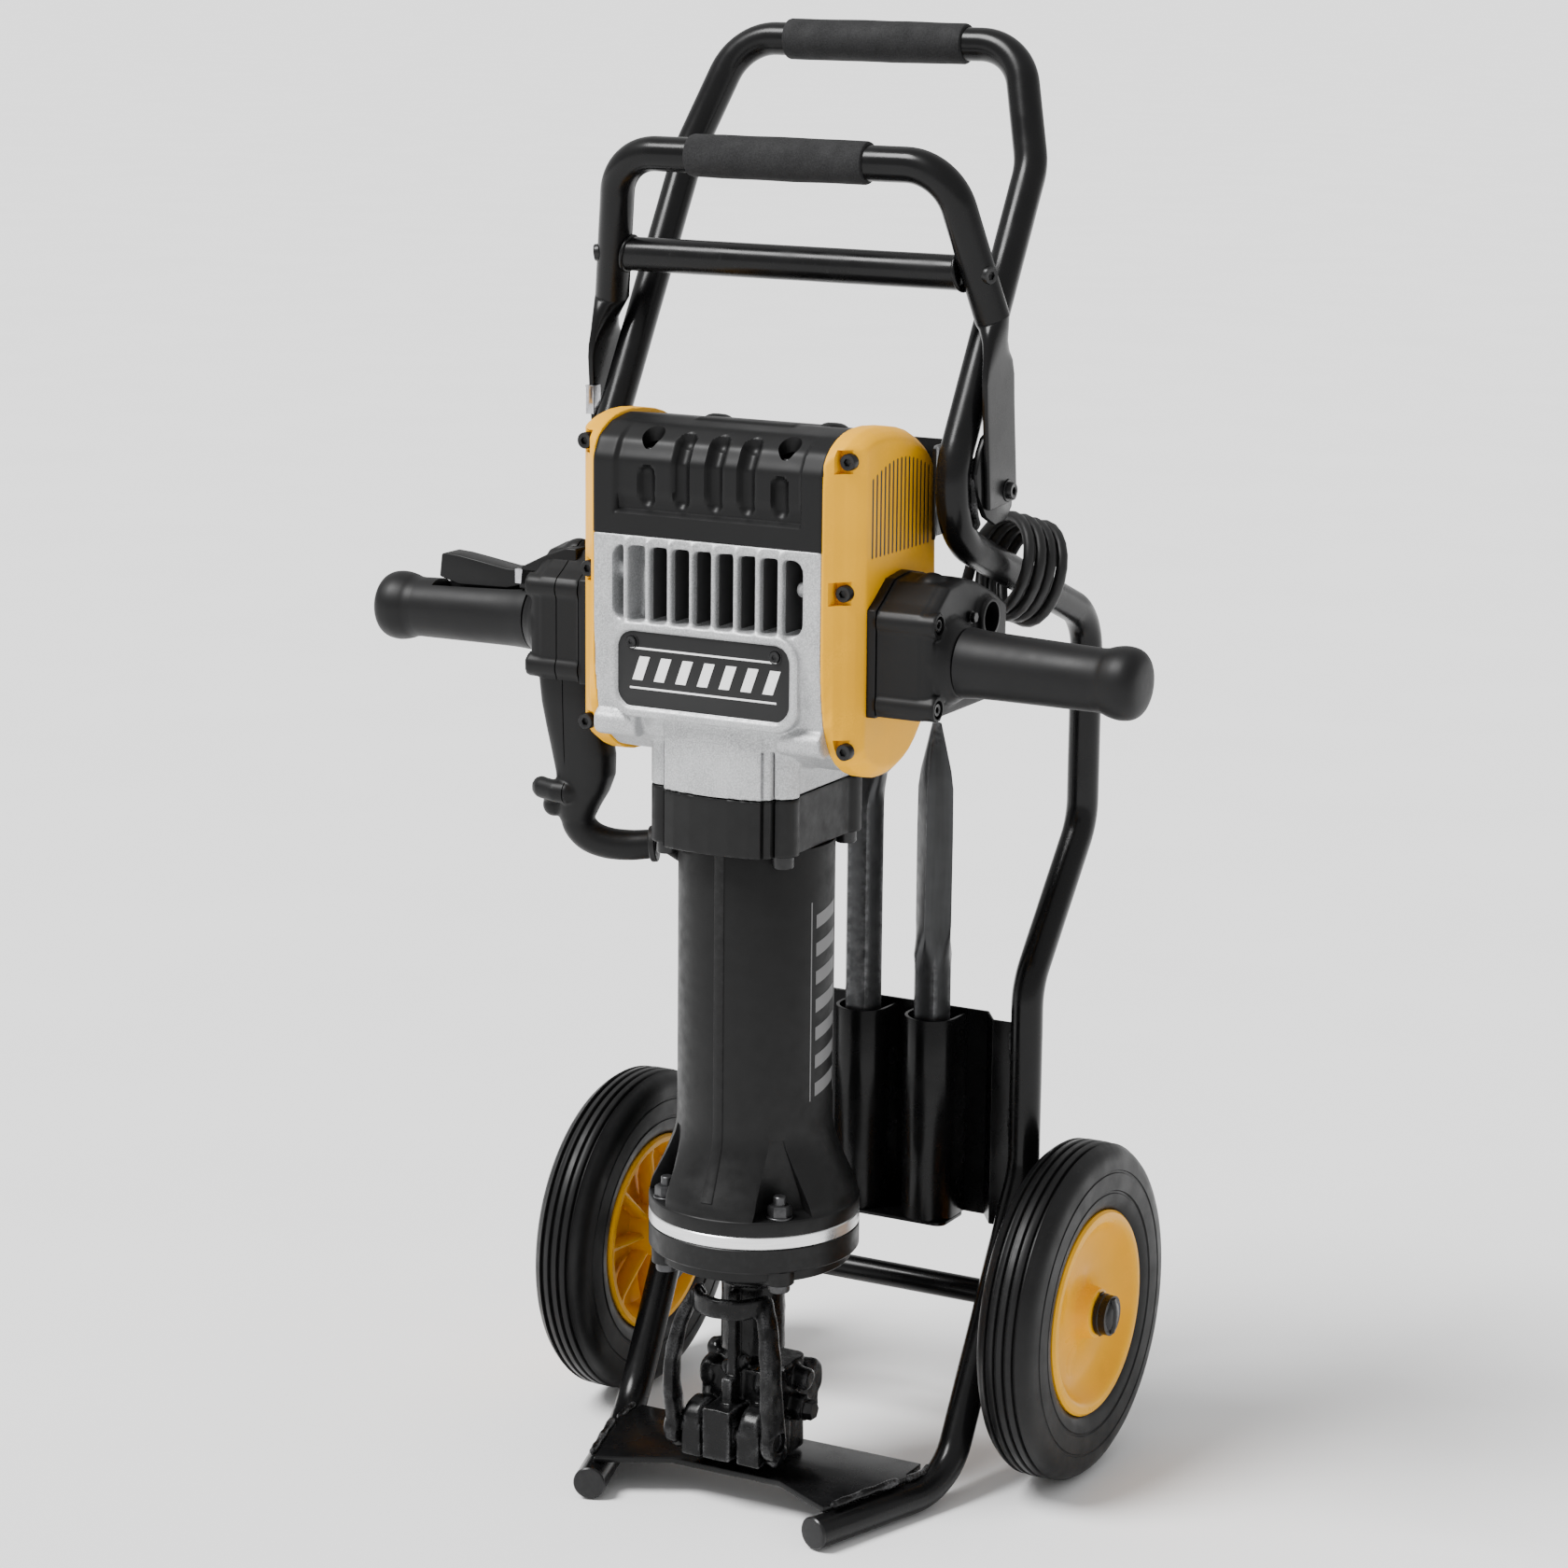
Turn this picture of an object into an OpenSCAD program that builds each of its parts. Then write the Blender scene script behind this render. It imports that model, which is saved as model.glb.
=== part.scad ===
// Electric breaker hammer standing on its two-wheeled trolley, with two stowed chisels.
// Frame: origin on the floor under the middle, +Z up, the hammer faces -Y. Millimetres.

/* [Hammer] */
// Distance of the hammer's axis in front of the origin
hammer_y = 104; // [103:0.5:105]
// Half width of the cast housing between the side covers
housing_half = 96; // [95:0.5:97]
// Outer face of the side covers from the middle
cover_half = 118; // [117:0.5:118.5]
// Height of the barrel's top, where the collar sits
barrel_top = 529; // [528:0.5:530]
// Radius of the plain barrel
barrel_r = 60; // [58:0.5:62]
// Radius of the nose flange
flange_r = 82; // [80:0.5:84]
// Height of both grips' axis at the handle boxes
grip_z = 683; // [680:0.5:686]
// Radius of a grip next to its box
grip_r = 24; // [22:0.5:25]
// Radius of the bulb at a grip's end
bulb_r = 26; // [25:0.5:28]
// Distance of a grip's tip from the middle
grip_tip = 326; // [318:1:334]

/* [Drive] */
// Gear module of the motor pinion and the crank gear
gear_module = 2.5; // [2.4:0.1:2.5]
// Teeth on the motor pinion
pinion_teeth = 11; // [10:1:11]
// Teeth on the crank gear
crank_teeth = 42; // [40:1:42]
// Crank throw, half the piston's stroke
crank_throw = 16; // [12:1:16]
// Bore radius of the air cylinder
cylinder_r = 28; // [26:0.5:29]

/* [Trolley] */
// Outer radius of the frame tubes
tube_r = 12.7; // [12:0.1:12.7]
// Wall of the frame tubes
tube_wall = 1.8; // [1.5:0.1:3]
// Distance of each side tube from the middle
side_x = 148; // [147.5:0.1:148.5]
// Outer radius of the tyres
wheel_r = 135; // [130:1:136]
// Tyre width
wheel_w = 49; // [45:1:50]
// Wheel centre from the middle
wheel_x = 200; // [198:0.5:204]
// Axle radius
axle_r = 10; // [8:0.5:10]
// Running clearance of every bearing and sliding fit, on the radius
fit = 0.05; // [0.03:0.01:0.08]

/* [Chisels] */
// Hexagon shank, across flats
shank_af = 28.6; // [26:0.1:28.6]
// Length of each chisel
chisel_len = 406; // [380:1:420]

/* [Cord] */
// Cord diameter
cord_d = 9; // [8:0.1:9.2]
// Radius of the wound turns, at their middle
coil_r = 37; // [36:0.5:38]
// Turns round the side tube
coil_turns = 5; // [4:1:5]

/* [Hidden] */
$fn = 64;

hy = -hammer_y;
front_y = hy - 82;
rear_y = hy + 62;
silver_top = 766;
silver_bottom = 612;
housing_top = 850;
wall = 5;
neck_half = 62;
neck_r = 12;
neck_z = 574;
bolt_at = 50;
ring_z = 224.5;
ring_h = 10;
plate_top = 30.4;
nose_bottom = 31;
box_x0 = cover_half;
box_x1 = 171;
grip_y = -122;
grip_drop = 1.2;
box_bottom = 643;
box_top = 720;
box_front = -156;
box_rear = -28;
boss_y = -68;
boss_z = 704;
collar_l = 12;
pivot_y = -30.5;
pivot_z = 798;
strap_x = 166.2;
strap_t = 4.5;
wheel_y = 57;
wheel_z = wheel_r;
chisel_y = 72;
chisel_x = [2, 64];
holder_z = 187;
holder_h = 170;
crank_z = 690;
motor_z = crank_z + gear_module * (pinion_teeth + crank_teeth) / 2;
pin_z = crank_z - crank_throw;
rod_len = 62;
wrist_z = pin_z - rod_len;

// Corner points and bend radii of the right side tube, from the foot to the middle of the bow.
side_route = [
    [100, -186, 12.7], [144, -52, 12.7], [side_x, 72, 238], [side_x, 72, 390],
    [side_x, 168, 505], [side_x, 168, 672], [side_x, -104.5, 777], [side_x, 45, 1032],
    [120, 78, 1119], [0, 78, 1119]
];
side_bends = [0, 60, 50, 50, 50, 45, 55, 60, 42, 0];
weld_lap = 1;
weld_skin = 0.05;
// The front hoop, from its left strap over its bar to its right strap.
hoop_route = [[-162.6, -47.6, 926], [-138, -78, 1037.5], [138, -78, 1037.5], [162.6, -47.6, 926]];
hoop_bends = [0, 40, 40, 0];
cross_tube_z = 959.5;
cross_tube_y = -57.5;
// The cord's run from its boot, behind the barrel, up to the winding's far end.
cord_route = [
    [-90, -98.8, 510.4], [-83, -94, 506], [-75, -83, 497], [-66, -68, 489], [-53, -52, 484],
    [-37, -38, 483], [-19, -27, 485], [-5, -20, 493], [5, -13, 509], [14, -4, 534],
    [24, 6, 566], [35, 16, 600], [48, 25, 632], [63, 33, 659], [81, 42, 677],
    [101, 48, 686], [121, 51, 689], [139, 47, 688]
];
// Its end, hanging from the winding's near end down to the plug.
cord_tail = [[107.5, 43, 733], [104.5, 38.5, 716], [101.5, 35, 700], [99.5, 32.5, 688]];
plug_at = [97, 30, 640];
coil_at = [side_x, 36, 728];
coil_axis = unit([0.55, 0.78, -0.3]);
coil_pitch = cord_d + 0.2;
coil_w = coil_pitch * (coil_turns - 1) + cord_d;

// Vectors
function unit(v) = v / norm(v);
function across(d) = unit(cross(d, abs(d[2]) < 0.9 ? [0, 0, 1] : [1, 0, 0]));
function turn_angle(a, b, c) = acos(unit(b - a) * unit(c - b));
function bend_cut(route, bends, i) =
    bends[i] == 0 ? 0
    : bends[i] * tan(turn_angle(route[i - 1], route[i], route[i + 1]) / 2);

// A 3 x 4 placing matrix from three axes and an origin.
function placing(x, y, z, o) = [
    [x[0], y[0], z[0], o[0]],
    [x[1], y[1], z[1], o[1]],
    [x[2], y[2], z[2], o[2]],
    [0, 0, 0, 1]
];

module along(p, q) {
    d = unit(q - p);
    u = across(d);
    multmatrix(placing(u, cross(d, u), d, p)) children();
}

module pipe(p, q, ro, ri) {
    along(p, q) difference() {
        cylinder(h = norm(q - p), r = ro);
        if (ri > 0) translate([0, 0, -1]) cylinder(h = norm(q - p) + 2, r = ri);
    }
}

module rod(p, q, r) {
    along(p, q) cylinder(h = norm(q - p), r = r);
}

module elbow(a, b, c, bend, ro, ri) {
    d1 = unit(b - a);
    d2 = unit(c - b);
    angle = acos(d1 * d2);
    n = unit(d2 - d1 * cos(angle));
    start = b - d1 * bend * tan(angle / 2);
    multmatrix(placing(-n, d1, cross(-n, d1), start + n * bend))
        rotate_extrude(angle = angle)
            translate([bend, 0])
                difference() {
                    circle(r = ro);
                    if (ri > 0) circle(r = ri);
                }
}

// A tube bent along corner points, each with its own bend radius. Each straight runs a
// little way into its bends, whose wall is thicker by a hair.
module bent_tube(route, bends, ro, ri) {
    for (i = [0 : len(route) - 2]) {
        d = unit(route[i + 1] - route[i]);
        start = i == 0 ? 0 : bend_cut(route, bends, i) - weld_lap;
        end = i == len(route) - 2 ? 0 : bend_cut(route, bends, i + 1) - weld_lap;
        pipe(route[i] + d * start, route[i + 1] - d * end, ro, ri);
    }
    for (i = [1 : len(route) - 2])
        elbow(route[i - 1], route[i], route[i + 1], bends[i], ro + weld_skin, ri - weld_skin);
}

// A round cord swept along a list of points.
function ring_at(route, i, r, sides) =
    let (
        back = route[max(i - 1, 0)],
        ahead = route[min(i + 1, len(route) - 1)],
        d = unit(ahead - back),
        u = unit(cross(d, [0.3, 0.9, 0.2])),
        v = cross(d, u)
    ) [for (k = [0 : sides - 1]) route[i] + r * (u * cos(360 * k / sides) + v * sin(360 * k / sides))];

module swept_cord(route, r, sides = 10) {
    rings = len(route);
    points = [for (i = [0 : rings - 1]) each ring_at(route, i, r, sides)];
    sides_faces = [for (i = [0 : rings - 2], k = [0 : sides - 1])
        let (n = (k + 1) % sides)
        each [
            [i * sides + k, (i + 1) * sides + k, (i + 1) * sides + n],
            [i * sides + k, (i + 1) * sides + n, i * sides + n]
        ]];
    first = [for (k = [0 : sides - 1]) k];
    last = [for (k = [sides - 1 : -1 : 0]) (rings - 1) * sides + k];
    polyhedron(points, concat([first, last], sides_faces), convexity = 10);
}

// Plain shapes
module round_rect(w, h, r) {
    square([w - 2 * r, h], center = true);
    square([w, h - 2 * r], center = true);
    for (sx = [-1, 1], sy = [-1, 1])
        translate([sx * (w / 2 - r), sy * (h / 2 - r)]) circle(r = r);
}

// Extrudes a Y-Z outline along X.
module side_slab(x0, x1) {
    translate([x0, 0, 0]) rotate([90, 0, 90]) linear_extrude(x1 - x0) children();
}

module x_rod(x0, x1, y, z, r) {
    translate([x0, y, z]) rotate([0, 90, 0]) cylinder(h = x1 - x0, r = r);
}

module y_rod(x, y0, y1, z, r) {
    translate([x, y1, z]) rotate([90, 0, 0]) cylinder(h = y1 - y0, r = r);
}

module both_sides() {
    children();
    mirror([1, 0, 0]) children();
}

module gear(teeth, h, bore) {
    pitch = gear_module * teeth / 2;
    step = 360 / teeth;
    low = pitch - 1.25 * gear_module;
    high = pitch + 0.75 * gear_module;
    outline = [for (i = [0 : teeth - 1], k = [[-0.25, low], [-0.1, high], [0.1, high], [0.25, low]])
        let (a = step * (i + k[0])) [k[1] * cos(a), k[1] * sin(a)]];
    linear_extrude(h) difference() {
        polygon(outline);
        if (bore > 0) circle(r = bore);
    }
}

// Hammer housing
function cover_outline(inset) = let (i = inset) [
    [-171 + i, 832 - i], [-160 + i, 846 - i], [-136, 853 - i], [-100, 850 - i],
    [-75 - i / 2, 841 - i], [-52 - i, 826 - i], [-42 - i, 808 - i / 2], [-40 - i, 745],
    [-38 - i, 715], [-44 - i, 650], [-56 - i, 624 + i / 2], [-76 - i / 2, 603 + i],
    [-96, 594 + i], [-118, 591 + i], [-142 + i / 2, 597 + i], [-160 + i, 611 + i],
    [-170 + i, 632 + i / 2], [-172 + i, 700], [-172 + i, 800]
];

module neck_outline() {
    translate([0, hy]) round_rect(2 * neck_half, 2 * neck_half, neck_r);
    translate([-41, hy - 77]) square([85, 30]);
    translate([-41, hy + 40]) square([82, 32]);
}

grille_x = [for (i = [0 : 7]) -67 + 18.6 * i];

// Inner walls that carry the bearings and the field stator.
module bulkhead(x0, x1) {
    difference() {
        translate([x0, front_y + wall - 0.5, silver_bottom + 7])
            cube([x1 - x0, rear_y - front_y - 2 * wall, 780 - silver_bottom - 7]);
        // Room for the top cover's front wall and for the piston at the top of its stroke.
        translate([x0 - 1, front_y + wall - 1, silver_top]) cube([x1 - x0 + 2, 2, 20]);
        translate([0, hy, silver_bottom]) cylinder(h = 52, r = 34);
        children();
    }
}

module bulkheads() {
    bulkhead(-90, -82) x_rod(-95, -80, hy, motor_z, 15);
    bulkhead(-42, -34) x_rod(-45, -30, hy, motor_z, 42);
    bulkhead(20, 27) {
        x_rod(15, 30, hy, motor_z, 9);
        x_rod(15, 30, hy, crank_z, 19);
    }
    bulkhead(64, 75) {
        x_rod(60, 80, hy, motor_z, 15);
        x_rod(60, 80, hy, crank_z, 19);
    }
}

module housing_casting() color([0.75, 0.76, 0.76]) {
    depth = rear_y - front_y;
    difference() {
        union() {
            translate([-housing_half, front_y, silver_bottom])
                cube([2 * housing_half, depth, silver_top - silver_bottom]);
            translate([0, 0, neck_z]) linear_extrude(silver_bottom - neck_z) neck_outline();
        }
        translate([-housing_half - 1, front_y + wall, silver_bottom + 8])
            cube([2 * housing_half + 2, depth - 2 * wall + 1, silver_top]);
        translate([0, hy, 500]) cylinder(h = 200, r = 34);
        translate([-79.5, front_y - 1, 702]) cube([159, wall + 2, 56]);
        // Bolt clearances down the neck's corners.
        for (sx = [-1, 1], sy = [-1, 1])
            translate([sx * bolt_at, hy + sy * bolt_at, 550]) cylinder(h = 100, r = 6);
    }
    for (x = grille_x)
        translate([x - 2, front_y, 702]) cube([4, wall + 9, 56]);
    bulkheads();
    // Raised border round the nameplate.
    translate([0, front_y, 666]) rotate([90, 0, 0]) linear_extrude(4) difference() {
        round_rect(160, 72, 19);
        round_rect(148, 60, 14);
    }
}

module top_cover() color([0.16, 0.16, 0.17]) {
    outline = [
        [front_y, silver_top], [front_y, 828], [front_y + 8, 838], [-160, 846], [-136, housing_top],
        [-75, 842], [-52, 828], [rear_y, 812], [rear_y, silver_top]
    ];
    inner = [
        [front_y + wall, silver_top - 1], [front_y + wall, 826], [-158, 840], [-136, 845],
        [-77, 837], [-56, 825], [rear_y - wall, 808], [rear_y - wall, silver_top - 1]
    ];
    difference() {
        side_slab(-housing_half, housing_half) polygon(outline);
        side_slab(-housing_half - 1, housing_half + 1) polygon(inner);
        // Air slots near the right edge.
        for (i = [0 : 4]) translate([70 + 4.5 * i, -130, 830]) cube([2, 26, 30]);
    }
    // Upright ribs on the front of the cover.
    for (x = [-52, -24, 4, 32, 60])
        translate([x, front_y, 786]) rotate([90, 0, 0]) linear_extrude(4) {
            translate([-4, 4]) square([8, abs(x - 4) > 40 ? 20 : 34]);
            translate([0, 4]) circle(r = 4);
        }
}

module side_cover() {
    vent_y = [for (i = [0 : 14]) -150 + 6.4 * i];
    difference() {
        union() {
            side_slab(housing_half, cover_half - 8) polygon(cover_outline(0));
            hull() {
                side_slab(cover_half - 8, cover_half - 7.9) polygon(cover_outline(0));
                side_slab(cover_half - 0.1, cover_half) polygon(cover_outline(7));
            }
        }
        side_slab(housing_half - 1, cover_half - 4) polygon(cover_outline(11));
        for (y = vent_y)
            translate([cover_half - 10, y - 1.1, 758]) cube([20, 2.2, 58 + 12 * sin(180 * (y + 153) / 96)]);
    }
}

module cover_left() color([0.99, 0.71, 0.08]) mirror([1, 0, 0]) side_cover();

module cover_right() color([0.99, 0.71, 0.08]) side_cover();

module nameplate() color([0.13, 0.13, 0.13])
    translate([0, front_y, 666]) rotate([90, 0, 0]) linear_extrude(3) round_rect(148, 60, 14);

screw_spots = [
    [60.7, front_y - 3, 686.5, 3], [107, -172.2, 736, 4], [106, -170.5, 640, 4]
];

module housing_screws() color([0.08, 0.08, 0.08]) both_sides() {
    for (s = screw_spots) y_rod(s[0], s[1] - 2.5, s[1], s[2], s[3]);
    for (z = [652, 710]) y_rod(box_x1 - 17, box_front - 2.5, box_front, z, 4);
}

// Handles
module box_outline(inset = 0) {
    translate([(box_front + box_rear) / 2, (box_bottom + box_top) / 2])
        round_rect(box_rear - box_front - 2 * inset, box_top - box_bottom - 2 * inset, 12 - inset);
}

module handle_box() {
    difference() {
        union() {
            side_slab(box_x0, box_x1) box_outline();
            x_rod(box_x1 - 1, box_x1 + collar_l, grip_y, grip_z, 30);
            x_rod(box_x1 - 2, box_x1 + 5, boss_y, boss_z, 15);
        }
        side_slab(box_x0 - 1, box_x1 - 4) box_outline(4);
        x_rod(box_x1 - 10, box_x1 + 10, boss_y, boss_z, 11);
    }
}

module handle_box_left() color([0.11, 0.11, 0.12]) mirror([1, 0, 0]) handle_box();

module handle_box_right() color([0.11, 0.11, 0.12]) handle_box();

module grip() {
    start = box_x1 + collar_l;
    reach = grip_tip - start;
    translate([start, grip_y, grip_z]) rotate([0, 90 + grip_drop, 0])
        rotate_extrude() polygon(concat(
            [[0, 0.8], [grip_r + 3, 0.8], [grip_r, 9], [grip_r - 0.5, reach - 37]],
            [for (a = [-20 : 10 : 90]) [bulb_r * cos(a), reach - 22 + (a > 0 ? 22 : bulb_r) * sin(a)]]
        ));
}

// The left grip has a trough along its top for the trigger lever.
module grip_left() color([0.15, 0.15, 0.16]) difference() {
    mirror([1, 0, 0]) grip();
    translate([-274, grip_y - 12.5, 693]) cube([89.5, 25, 30]);
}

module grip_right() color([0.15, 0.15, 0.16]) grip();

trigger_x = -189;
trigger_z = 715;

module trigger() color([0.1, 0.1, 0.1]) difference() {
    translate([0, grip_y + 11, 0]) rotate([90, 0, 0]) linear_extrude(22) polygon([
        [-268, 709], [-266, 727], [-250, 727], [-206, 719.5], [-190, 721], [-184, 719],
        [-184, 711], [-206, 709]
    ]);
    y_rod(trigger_x, grip_y - 20, grip_y + 20, trigger_z, 3 + fit);
}

module trigger_pin() color([0.6, 0.6, 0.6]) {
    y_rod(trigger_x, grip_y - 16, grip_y + 16, trigger_z, 3);
    // Ears that carry the pin.
    for (s = [-1, 1])
        translate([trigger_x - 6, grip_y + s * 14 - 2, 711])
            cube([trigger_x * -1 + 6 - box_x1, 4, 11]);
}

module power_switch() color([0.2, 0.2, 0.22])
    translate([-146, grip_y - 16, 662]) cube([26, 32, 36]);

// Cord
module cord_boot() color([0.1, 0.1, 0.1]) {
    hull() {
        translate([-146, -128, box_bottom - 9]) cube([46, 34, 18], center = true);
        translate([-142, -126, 590]) cube([44, 30, 4], center = true);
    }
    hull() {
        translate([-142, -126, 590]) cube([44, 30, 4], center = true);
        translate([-141, -122, 540]) rotate([0, 12, 0]) cylinder(h = 4, r = 17, $fn = 24);
    }
    swept_cord([
        [-141, -122, 541], [-139, -121, 530], [-132, -118, 521], [-121, -113, 515],
        [-106, -107, 512], [-92, -100, 511]
    ], 12, 12);
}

module cord_run() color([0.08, 0.08, 0.08]) {
    swept_cord(cord_route, cord_d / 2);
    swept_cord(cord_tail, cord_d / 2);
}

module cord_coil() color([0.08, 0.08, 0.08])
    along(coil_at - coil_axis * coil_w / 2, coil_at + coil_axis * coil_w / 2)
        rotate_extrude() translate([coil_r - cord_d / 2, 0]) square([cord_d, coil_w]);

module cord_plug() color([0.08, 0.08, 0.08]) {
    translate(plug_at) cylinder(h = 30, r = 16);
    along(plug_at + [0, 0, 30], cord_tail[3]) cylinder(h = 18.3, r1 = 10, r2 = 6);
}

// Motor and gears
module x_ring(x0, x1, z, ro, ri) {
    difference() {
        x_rod(x0, x1, hy, z, ro);
        x_rod(x0 - 1, x1 + 1, hy, z, ri);
    }
}

module field_stator() color([0.5, 0.3, 0.2]) x_ring(-62, -14, motor_z, 42, 28);

module armature() color([0.72, 0.45, 0.2]) {
    x_rod(-88, 74, hy, motor_z, 6);
    x_rod(-60, -16, hy, motor_z, 27);
    x_rod(-80, -66, hy, motor_z, 16);
    x_rod(50, 56, hy, motor_z, 38);
    translate([28, hy, motor_z]) rotate([0, 90, 0]) rotate([0, 0, 180]) gear(pinion_teeth, 14, 0);
}

module ball_bearings() color([0.7, 0.7, 0.72]) {
    x_ring(-90, -82, motor_z, 15, 6 + fit);
    x_ring(64, 72, motor_z, 15, 6 + fit);
    x_ring(20, 27, crank_z, 19, 9 + fit);
    x_ring(66, 75, crank_z, 19, 9 + fit);
}

module brush_holders() color([0.55, 0.4, 0.1])
    for (s = [-1, 1])
        translate([-77, hy + s * 26 - 9, motor_z - 5]) cube([8, 18, 10]);

module crank_gear() color([0.6, 0.6, 0.62]) {
    x_rod(10, 76, hy, crank_z, 9);
    x_rod(10, 18, hy, crank_z, 27);
    x_rod(8, 12, hy, pin_z, 7);
    translate([29, hy, crank_z]) rotate([0, 90, 0]) gear(crank_teeth, 12, 0);
}

module con_rod() color([0.66, 0.66, 0.68]) difference() {
    union() {
        x_rod(-6.5, 6.5, hy, pin_z, 13);
        x_rod(-6.5, 6.5, hy, wrist_z, 12);
        translate([-5, hy - 8, wrist_z]) cube([10, 16, rod_len]);
    }
    x_rod(-8, 8, hy, pin_z, 7 + fit);
    x_rod(-8, 8, hy, wrist_z, 6 + fit);
}

module wrist_pin() color([0.8, 0.8, 0.82]) x_rod(-20, 20, hy, wrist_z, 6);

module piston() color([0.75, 0.75, 0.77]) difference() {
    translate([0, hy, wrist_z - 30]) cylinder(h = 44, r = cylinder_r);
    translate([-7.5, hy - 16, wrist_z - 16]) cube([15, 32, 60]);
    x_rod(-40, 40, hy, wrist_z, 6);
}

module cylinder_tube() color([0.7, 0.7, 0.72]) difference() {
    translate([0, hy, 400]) cylinder(h = 232, r = 34);
    translate([0, hy, 390]) cylinder(h = 290, r = cylinder_r + fit);
}

module ram() color([0.55, 0.55, 0.57]) {
    translate([0, hy, 440]) cylinder(h = 60, r = cylinder_r);
    translate([0, hy, 405]) cylinder(h = 35, r = 16);
}

module beat_piece() color([0.5, 0.5, 0.52]) {
    translate([0, hy, 330.3]) cylinder(h = 60, r = 22);
    translate([0, hy, 258.3]) cylinder(h = 72, r = 15);
}

// Barrel and nose
module gearbox_collar() color([0.12, 0.12, 0.13]) difference() {
    translate([0, 0, barrel_top]) linear_extrude(neck_z - barrel_top) neck_outline();
    translate([0, hy, barrel_top - 1]) cylinder(h = 60, r = 34);
    for (sx = [-1, 1], sy = [-1, 1])
        translate([sx * bolt_at, hy + sy * bolt_at, 500]) cylinder(h = 100, r = 6);
}

module collar_bolts() color([0.1, 0.1, 0.1])
    for (sx = [-1, 1], sy = [-1, 1])
        translate([sx * bolt_at, hy + sy * bolt_at, barrel_top]) {
            cylinder(h = 64, r = 6);
            translate([0, 0, -8]) cylinder(h = 8, r = 8.5);
        }

stud_r = 70;

module at_studs() {
    for (a = [45 : 90 : 315]) translate([stud_r * cos(a), hy + stud_r * sin(a), 0]) children();
}

module barrel() color([0.13, 0.13, 0.14]) difference() {
    union() {
        translate([0, hy, 234.5]) cylinder(h = 11.5, r = flange_r);
        translate([0, hy, 246]) cylinder(h = 54, r1 = 79, r2 = barrel_r);
        translate([0, hy, 300]) cylinder(h = barrel_top - 300, r = barrel_r);
    }
    translate([0, hy, 412]) cylinder(h = barrel_top - 411, r = barrel_r - 8);
    translate([0, hy, 400]) cylinder(h = 20, r = 34);
    translate([0, hy, 330]) cylinder(h = 72, r = 22 + fit);
    translate([0, hy, 230]) cylinder(h = 101, r = 34);
    at_studs() translate([0, 0, 246]) cylinder(h = 60, r = 14);
    at_studs() translate([0, 0, 230]) cylinder(h = 20, r = 6);
}

module flange_ring() color([0.8, 0.8, 0.81]) difference() {
    translate([0, hy, ring_z]) cylinder(h = ring_h, r = flange_r);
    translate([0, hy, ring_z - 1]) cylinder(h = ring_h + 2, r = 34);
    at_studs() translate([0, 0, ring_z - 1]) cylinder(h = ring_h + 2, r = 6);
}

module nose_flange() color([0.12, 0.12, 0.13]) difference() {
    union() {
        translate([0, hy, 205]) cylinder(h = ring_z - 205, r = flange_r);
        translate([0, hy, 196]) cylinder(h = 9, r = 76);
    }
    translate([0, hy, 190]) cylinder(h = 40, r = 34);
    at_studs() translate([0, 0, 190]) cylinder(h = 40, r = 6);
}

module flange_bolts() color([0.35, 0.35, 0.37]) at_studs() {
    translate([0, 0, 196]) cylinder(h = 66, r = 6);
    translate([0, 0, 188]) cylinder(h = 8, r = 9);
    translate([0, 0, 246]) cylinder(h = 9, r = 9.5, $fn = 6);
}

module tool_sleeve() color([0.5, 0.5, 0.52]) difference() {
    translate([0, hy, 196]) cylinder(h = 134, r = 34);
    translate([0, hy, 256]) cylinder(h = 80, r = 15 + fit);
    translate([0, hy, 190]) cylinder(h = 70, r = shank_af / 2 / cos(30) + 0.4, $fn = 6);
}

drum_y = -148;
drum_z = 62;

module nose_block() color([0.1, 0.1, 0.1]) difference() {
    union() {
        translate([0, hy, 104]) cylinder(h = 92, r = 27);
        translate([0, hy, nose_bottom]) linear_extrude(73) round_rect(70, 76, 14);
        x_rod(-35, 35, drum_y, drum_z, 17);
        x_rod(-35, 35, -60, 84, 16);
    }
    translate([0, hy, nose_bottom - 1]) cylinder(h = 170, r = shank_af / 2 / cos(30) + 0.4, $fn = 6);
    x_rod(-60, 60, drum_y, drum_z, 6);
}

module latch_pin() color([0.4, 0.4, 0.42]) x_rod(-53, 53, drum_y, drum_z, 6);

module retainer_latch() color([0.1, 0.1, 0.1]) difference() {
    union() {
        both_sides() {
            x_rod(36, 48, drum_y, drum_z, 14);
            side_slab(38, 48) polygon([
                [drum_y - 12, drum_z], [drum_y + 12, drum_z], [drum_y + 8, 120], [drum_y + 6, 172],
                [drum_y - 8, 172], [drum_y - 14, 120]
            ]);
        }
        translate([-48, drum_y - 8, 158]) cube([96, 14, 14]);
    }
    x_rod(-60, 60, drum_y, drum_z, 6 + fit);
}

// Trolley
module side_tube() {
    bent_tube(side_route, side_bends, tube_r, tube_r - tube_wall);
}

module frame_tube_left() color([0.07, 0.07, 0.07]) mirror([1, 0, 0]) side_tube();

module frame_tube_right() color([0.07, 0.07, 0.07]) side_tube();

module tube_caps() color([0.05, 0.05, 0.05]) both_sides() {
    d = unit(side_route[1] - side_route[0]);
    rod(side_route[0] - d * 2.5, side_route[0], tube_r);
    rod(side_route[0], side_route[0] + d * 14, tube_r - tube_wall);
}

module foot_plate() color([0.07, 0.07, 0.07])
    translate([0, 0, 2 * tube_r]) linear_extrude(plate_top - 2 * tube_r) polygon([
        [-127, -60], [127, -60], [127, -86], [131, -89], [102, -176], [48, -147],
        [-48, -147], [-102, -176], [-131, -89], [-127, -86]
    ]);

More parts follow.
